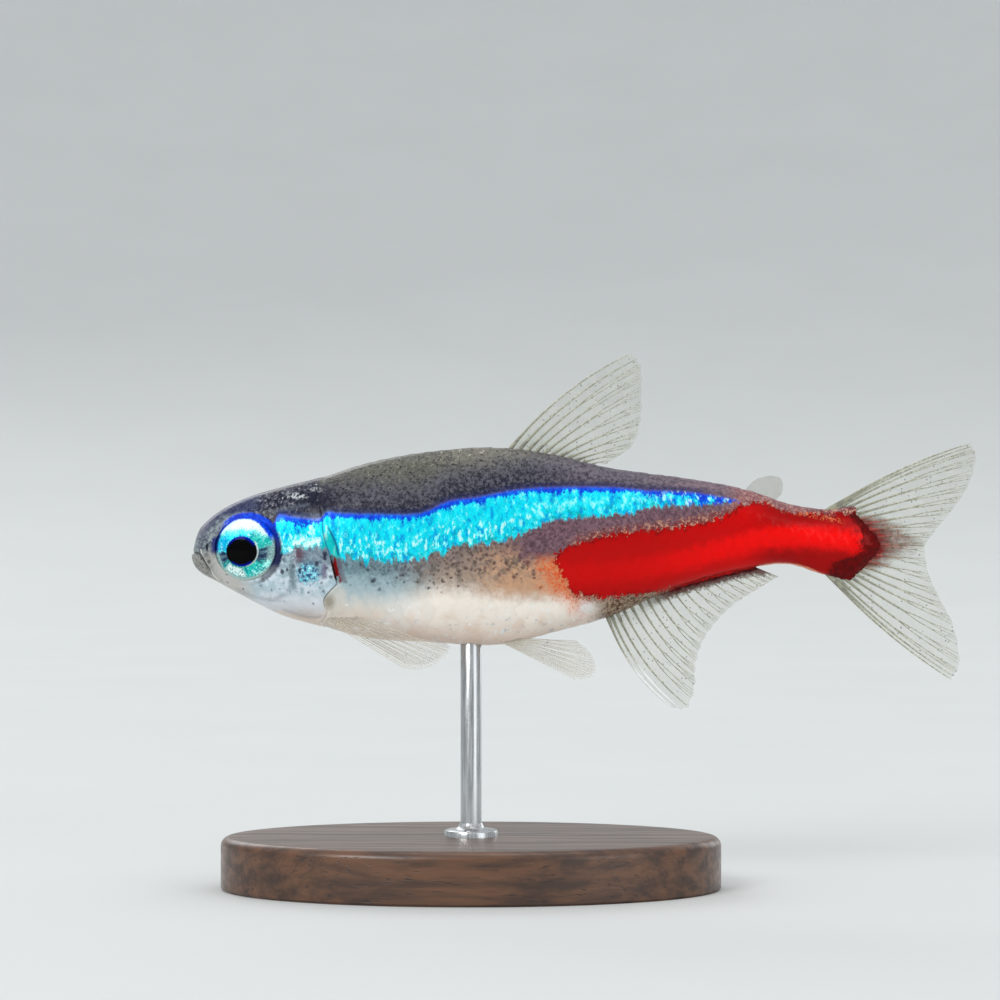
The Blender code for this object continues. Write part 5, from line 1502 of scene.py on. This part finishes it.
# ---- display stand ---------------------------------------------------------------
def wood_material():
    g = Graph("base_wood_finish", Coat_Weight=0.25, Coat_Roughness=0.22, IOR=1.5)
    p, px, py, pz = g.spot()
    wander = g.noise(g.vector(px * 0.09, py * 0.35, pz * 0.35), 1.0, 2, 0.5)
    grain = g.noise(g.vector(px * 0.10, py * 1.9 + wander * 4.0, pz * 1.9 + wander * 2.0), 1.0, 4, 0.62)
    pores = g.noise(g.vector(px * 0.55, py * 9.0, pz * 9.0), 1.0, 2, 0.5)
    colour = g.blend(rgb(58, 36, 24), rgb(104, 68, 44), g.ease(0.32, 0.68, grain))
    colour = g.blend(colour, rgb(34, 21, 15), g.ease(0.60, 0.72, pores) * 0.7)
    rough = g.ease(0.3, 0.7, grain, 0.42, 0.30)
    return g.finish(Base_Color=colour, Roughness=rough, Normal=g.bump(grain * 0.5 - g.ease(0.60, 0.72, pores), 0.00002, 0.4))


def steel_material():
    g = Graph("rod_steel_finish", Metallic=1.0, IOR=2.5)
    p, px, py, pz = g.spot()
    lines = g.noise(g.vector(px * 14.0, py * 14.0, pz * 0.6), 1.0, 3, 0.6)
    colour = g.blend(rgb(176, 178, 180), rgb(206, 208, 210), g.ease(0.3, 0.7, lines))
    return g.finish(Base_Color=colour, Roughness=g.ease(0.3, 0.7, lines, 0.20, 0.34), Normal=g.bump(lines, 0.000004, 0.5))


def turned(name, profile, count, squash, material):
    """A closed lathe shape about the rod's axis from (radius, height) points in mm."""
    turn = np.linspace(0, 2 * math.pi, count, endpoint=False)
    profile = np.asarray(profile, float)
    points = np.stack([profile[:, :1] * np.cos(turn) * squash[0], profile[:, :1] * np.sin(turn) * squash[1],
                       np.broadcast_to(profile[:, 1:], (len(profile), count))], axis=-1)
    rows = len(profile)
    quads = grid_faces(rows, count, wrap=True)
    ends = np.arange(count)
    caps = [ends[::-1].reshape(1, -1), ((rows - 1) * count + ends).reshape(1, -1)]
    obj = make(name, points.reshape(-1, 3) * MM, [quads, *caps], material, sharp=35)
    return obj


wood, steel = wood_material(), steel_material()
corner = 0.35
arc = np.linspace(0, math.pi / 2, 9)
half_x, half_y, tall = 9.5, 6.0, 2.0


def base_mesh():
    """The oval base: a flat underside, a small foot edge and a rounded top edge."""
    count = 240
    turn = np.linspace(0, 2 * math.pi, count, endpoint=False)
    rings = [(0.10, 0.0), (0.0, 0.10)]
    rings += [(corner * (1 - math.cos(a)), tall - corner + corner * math.sin(a)) for a in arc]
    rings = [(inset, height, 1.0) for inset, height in rings] + [(corner, tall, k) for k in (0.92, 0.7, 0.4, 0.12)]
    nx_, ny_ = np.cos(turn) / half_x, np.sin(turn) / half_y
    nl = np.hypot(nx_, ny_)
    points = np.concatenate([np.stack([(half_x * np.cos(turn) - nx_ / nl * inset) * k, (half_y * np.sin(turn) - ny_ / nl * inset) * k,
                                       np.full(count, height)], axis=-1) for inset, height, k in rings])
    rows = len(rings)
    quads = grid_faces(rows, count, wrap=True)
    ends = np.arange(count)
    caps = [ends[::-1].reshape(1, -1), ((rows - 1) * count + ends).reshape(1, -1)]
    obj = make("stand_base_finish", points * MM, [quads, *caps], wood, sharp=30)
    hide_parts("stand_base")


base_mesh()
rod_lo, rod_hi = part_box("stand_rod")
rod_top = rod_hi[2] / MM
rod = turned("stand_rod_finish", [(0.40, 0.9), (0.40, rod_top - 0.08), (0.36, rod_top - 0.02), (0.30, rod_top)], 64, (1, 1), steel)
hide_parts("stand_rod")
collar = [(0.42, 1.9), (1.02, 1.9), (1.02, 2.16), (0.99, 2.22), (0.93, 2.25), (0.62, 2.27), (0.52, 2.32), (0.46, 2.42), (0.42, 2.50), (0.405, 2.50)]
ring = turned("stand_collar", collar, 96, (1, 1), steel)


# ---- floor, light and camera -----------------------------------------------------
def floor():
    """A pale floor that rises into a low wall all round."""
    rings = [(r, 0.0) for r in (0.02, 0.05, 0.10, 0.15, 0.20)]
    rise = 0.60
    rings += [(0.20 + rise * math.sin(a), rise * (1 - math.cos(a))) for a in np.linspace(0.05, 0.40 * math.pi, 24)]
    count = 96
    turn = np.linspace(0, 2 * math.pi, count, endpoint=False)
    points = np.concatenate([[[0, 0, 0]], *[np.stack([r * np.cos(turn), r * np.sin(turn), np.full(count, h)], axis=-1)
                                           for r, h in rings]])
    quads = grid_faces(len(rings), count, wrap=True, start=1)[:, ::-1]
    ends = np.arange(count)
    fan = np.stack([np.zeros(count, int), 1 + ends, 1 + np.roll(ends, -1)], axis=1)
    mesh = bpy.data.meshes.new("studio_floor")
    mesh.from_pydata(points.tolist(), [], [list(map(int, f)) for f in fan] + [list(map(int, f)) for f in quads])
    mesh.shade_smooth()
    g = Graph("studio_floor", Roughness=0.8)
    p, *_ = g.spot()
    paper = g.noise(p, 0.05, 3, 0.5)
    g.finish(Base_Color=g.blend(rgb(206, 208, 207), rgb(212, 214, 213), paper))
    mesh.materials.append(g.material)
    obj = bpy.data.objects.new("studio_floor", mesh)
    bpy.context.scene.collection.objects.link(obj)


floor()


def area(name, at, aim, size, power, colour=(1, 1, 1)):
    data = bpy.data.lights.new(name, "AREA")
    data.shape, data.size, data.size_y = "RECTANGLE", size[0], size[1]
    data.energy, data.color = power, colour
    obj = bpy.data.objects.new(name, data)
    obj.location = at
    obj.rotation_mode = "QUATERNION"
    obj.rotation_quaternion = (Vector(aim) - Vector(at)).to_track_quat("-Z", "Y")
    bpy.context.scene.collection.objects.link(obj)


middle = (0.001, 0.0, 0.013)
area("key", (-0.17, -0.24, 0.20), middle, (0.14, 0.14), 0.46, (1.0, 0.99, 0.97))
area("fill", (0.24, -0.22, 0.10), middle, (0.18, 0.18), 0.16, (0.96, 0.98, 1.0))
area("top", (0.03, 0.02, 0.34), middle, (0.24, 0.16), 0.16)
area("back", (-0.14, 0.28, 0.20), middle, (0.18, 0.16), 0.20)
area("back_fill", (0.22, 0.26, 0.12), middle, (0.16, 0.16), 0.13)

world = bpy.data.worlds.new("studio")
world.use_nodes = True
world.node_tree.nodes["Background"].inputs[0].default_value = (0.90, 0.93, 0.96, 1.0)
world.node_tree.nodes["Background"].inputs[1].default_value = 0.86
bpy.context.scene.world = world
bpy.context.scene.view_settings.view_transform = "Standard"
bpy.context.scene.view_settings.look = "None"

# The photo is 1000 pixels across at 0.038 mm each where the fish swims.
SPAN, LENS, SENSOR = 38.0, 120.0, 36.0
data = bpy.data.cameras.new("camera")
data.lens, data.sensor_width = LENS, SENSOR
data.clip_start, data.clip_end = 0.002, 5.0
camera = bpy.data.objects.new("camera", data)
camera.location = ((11.70 - ROD_X) * MM, -SPAN / SENSOR * LENS * MM, (AXIS_HEIGHT + 1.76) * MM)
camera.rotation_euler = (math.pi / 2, 0.0, 0.0)
bpy.context.scene.collection.objects.link(camera)
bpy.context.scene.camera = camera
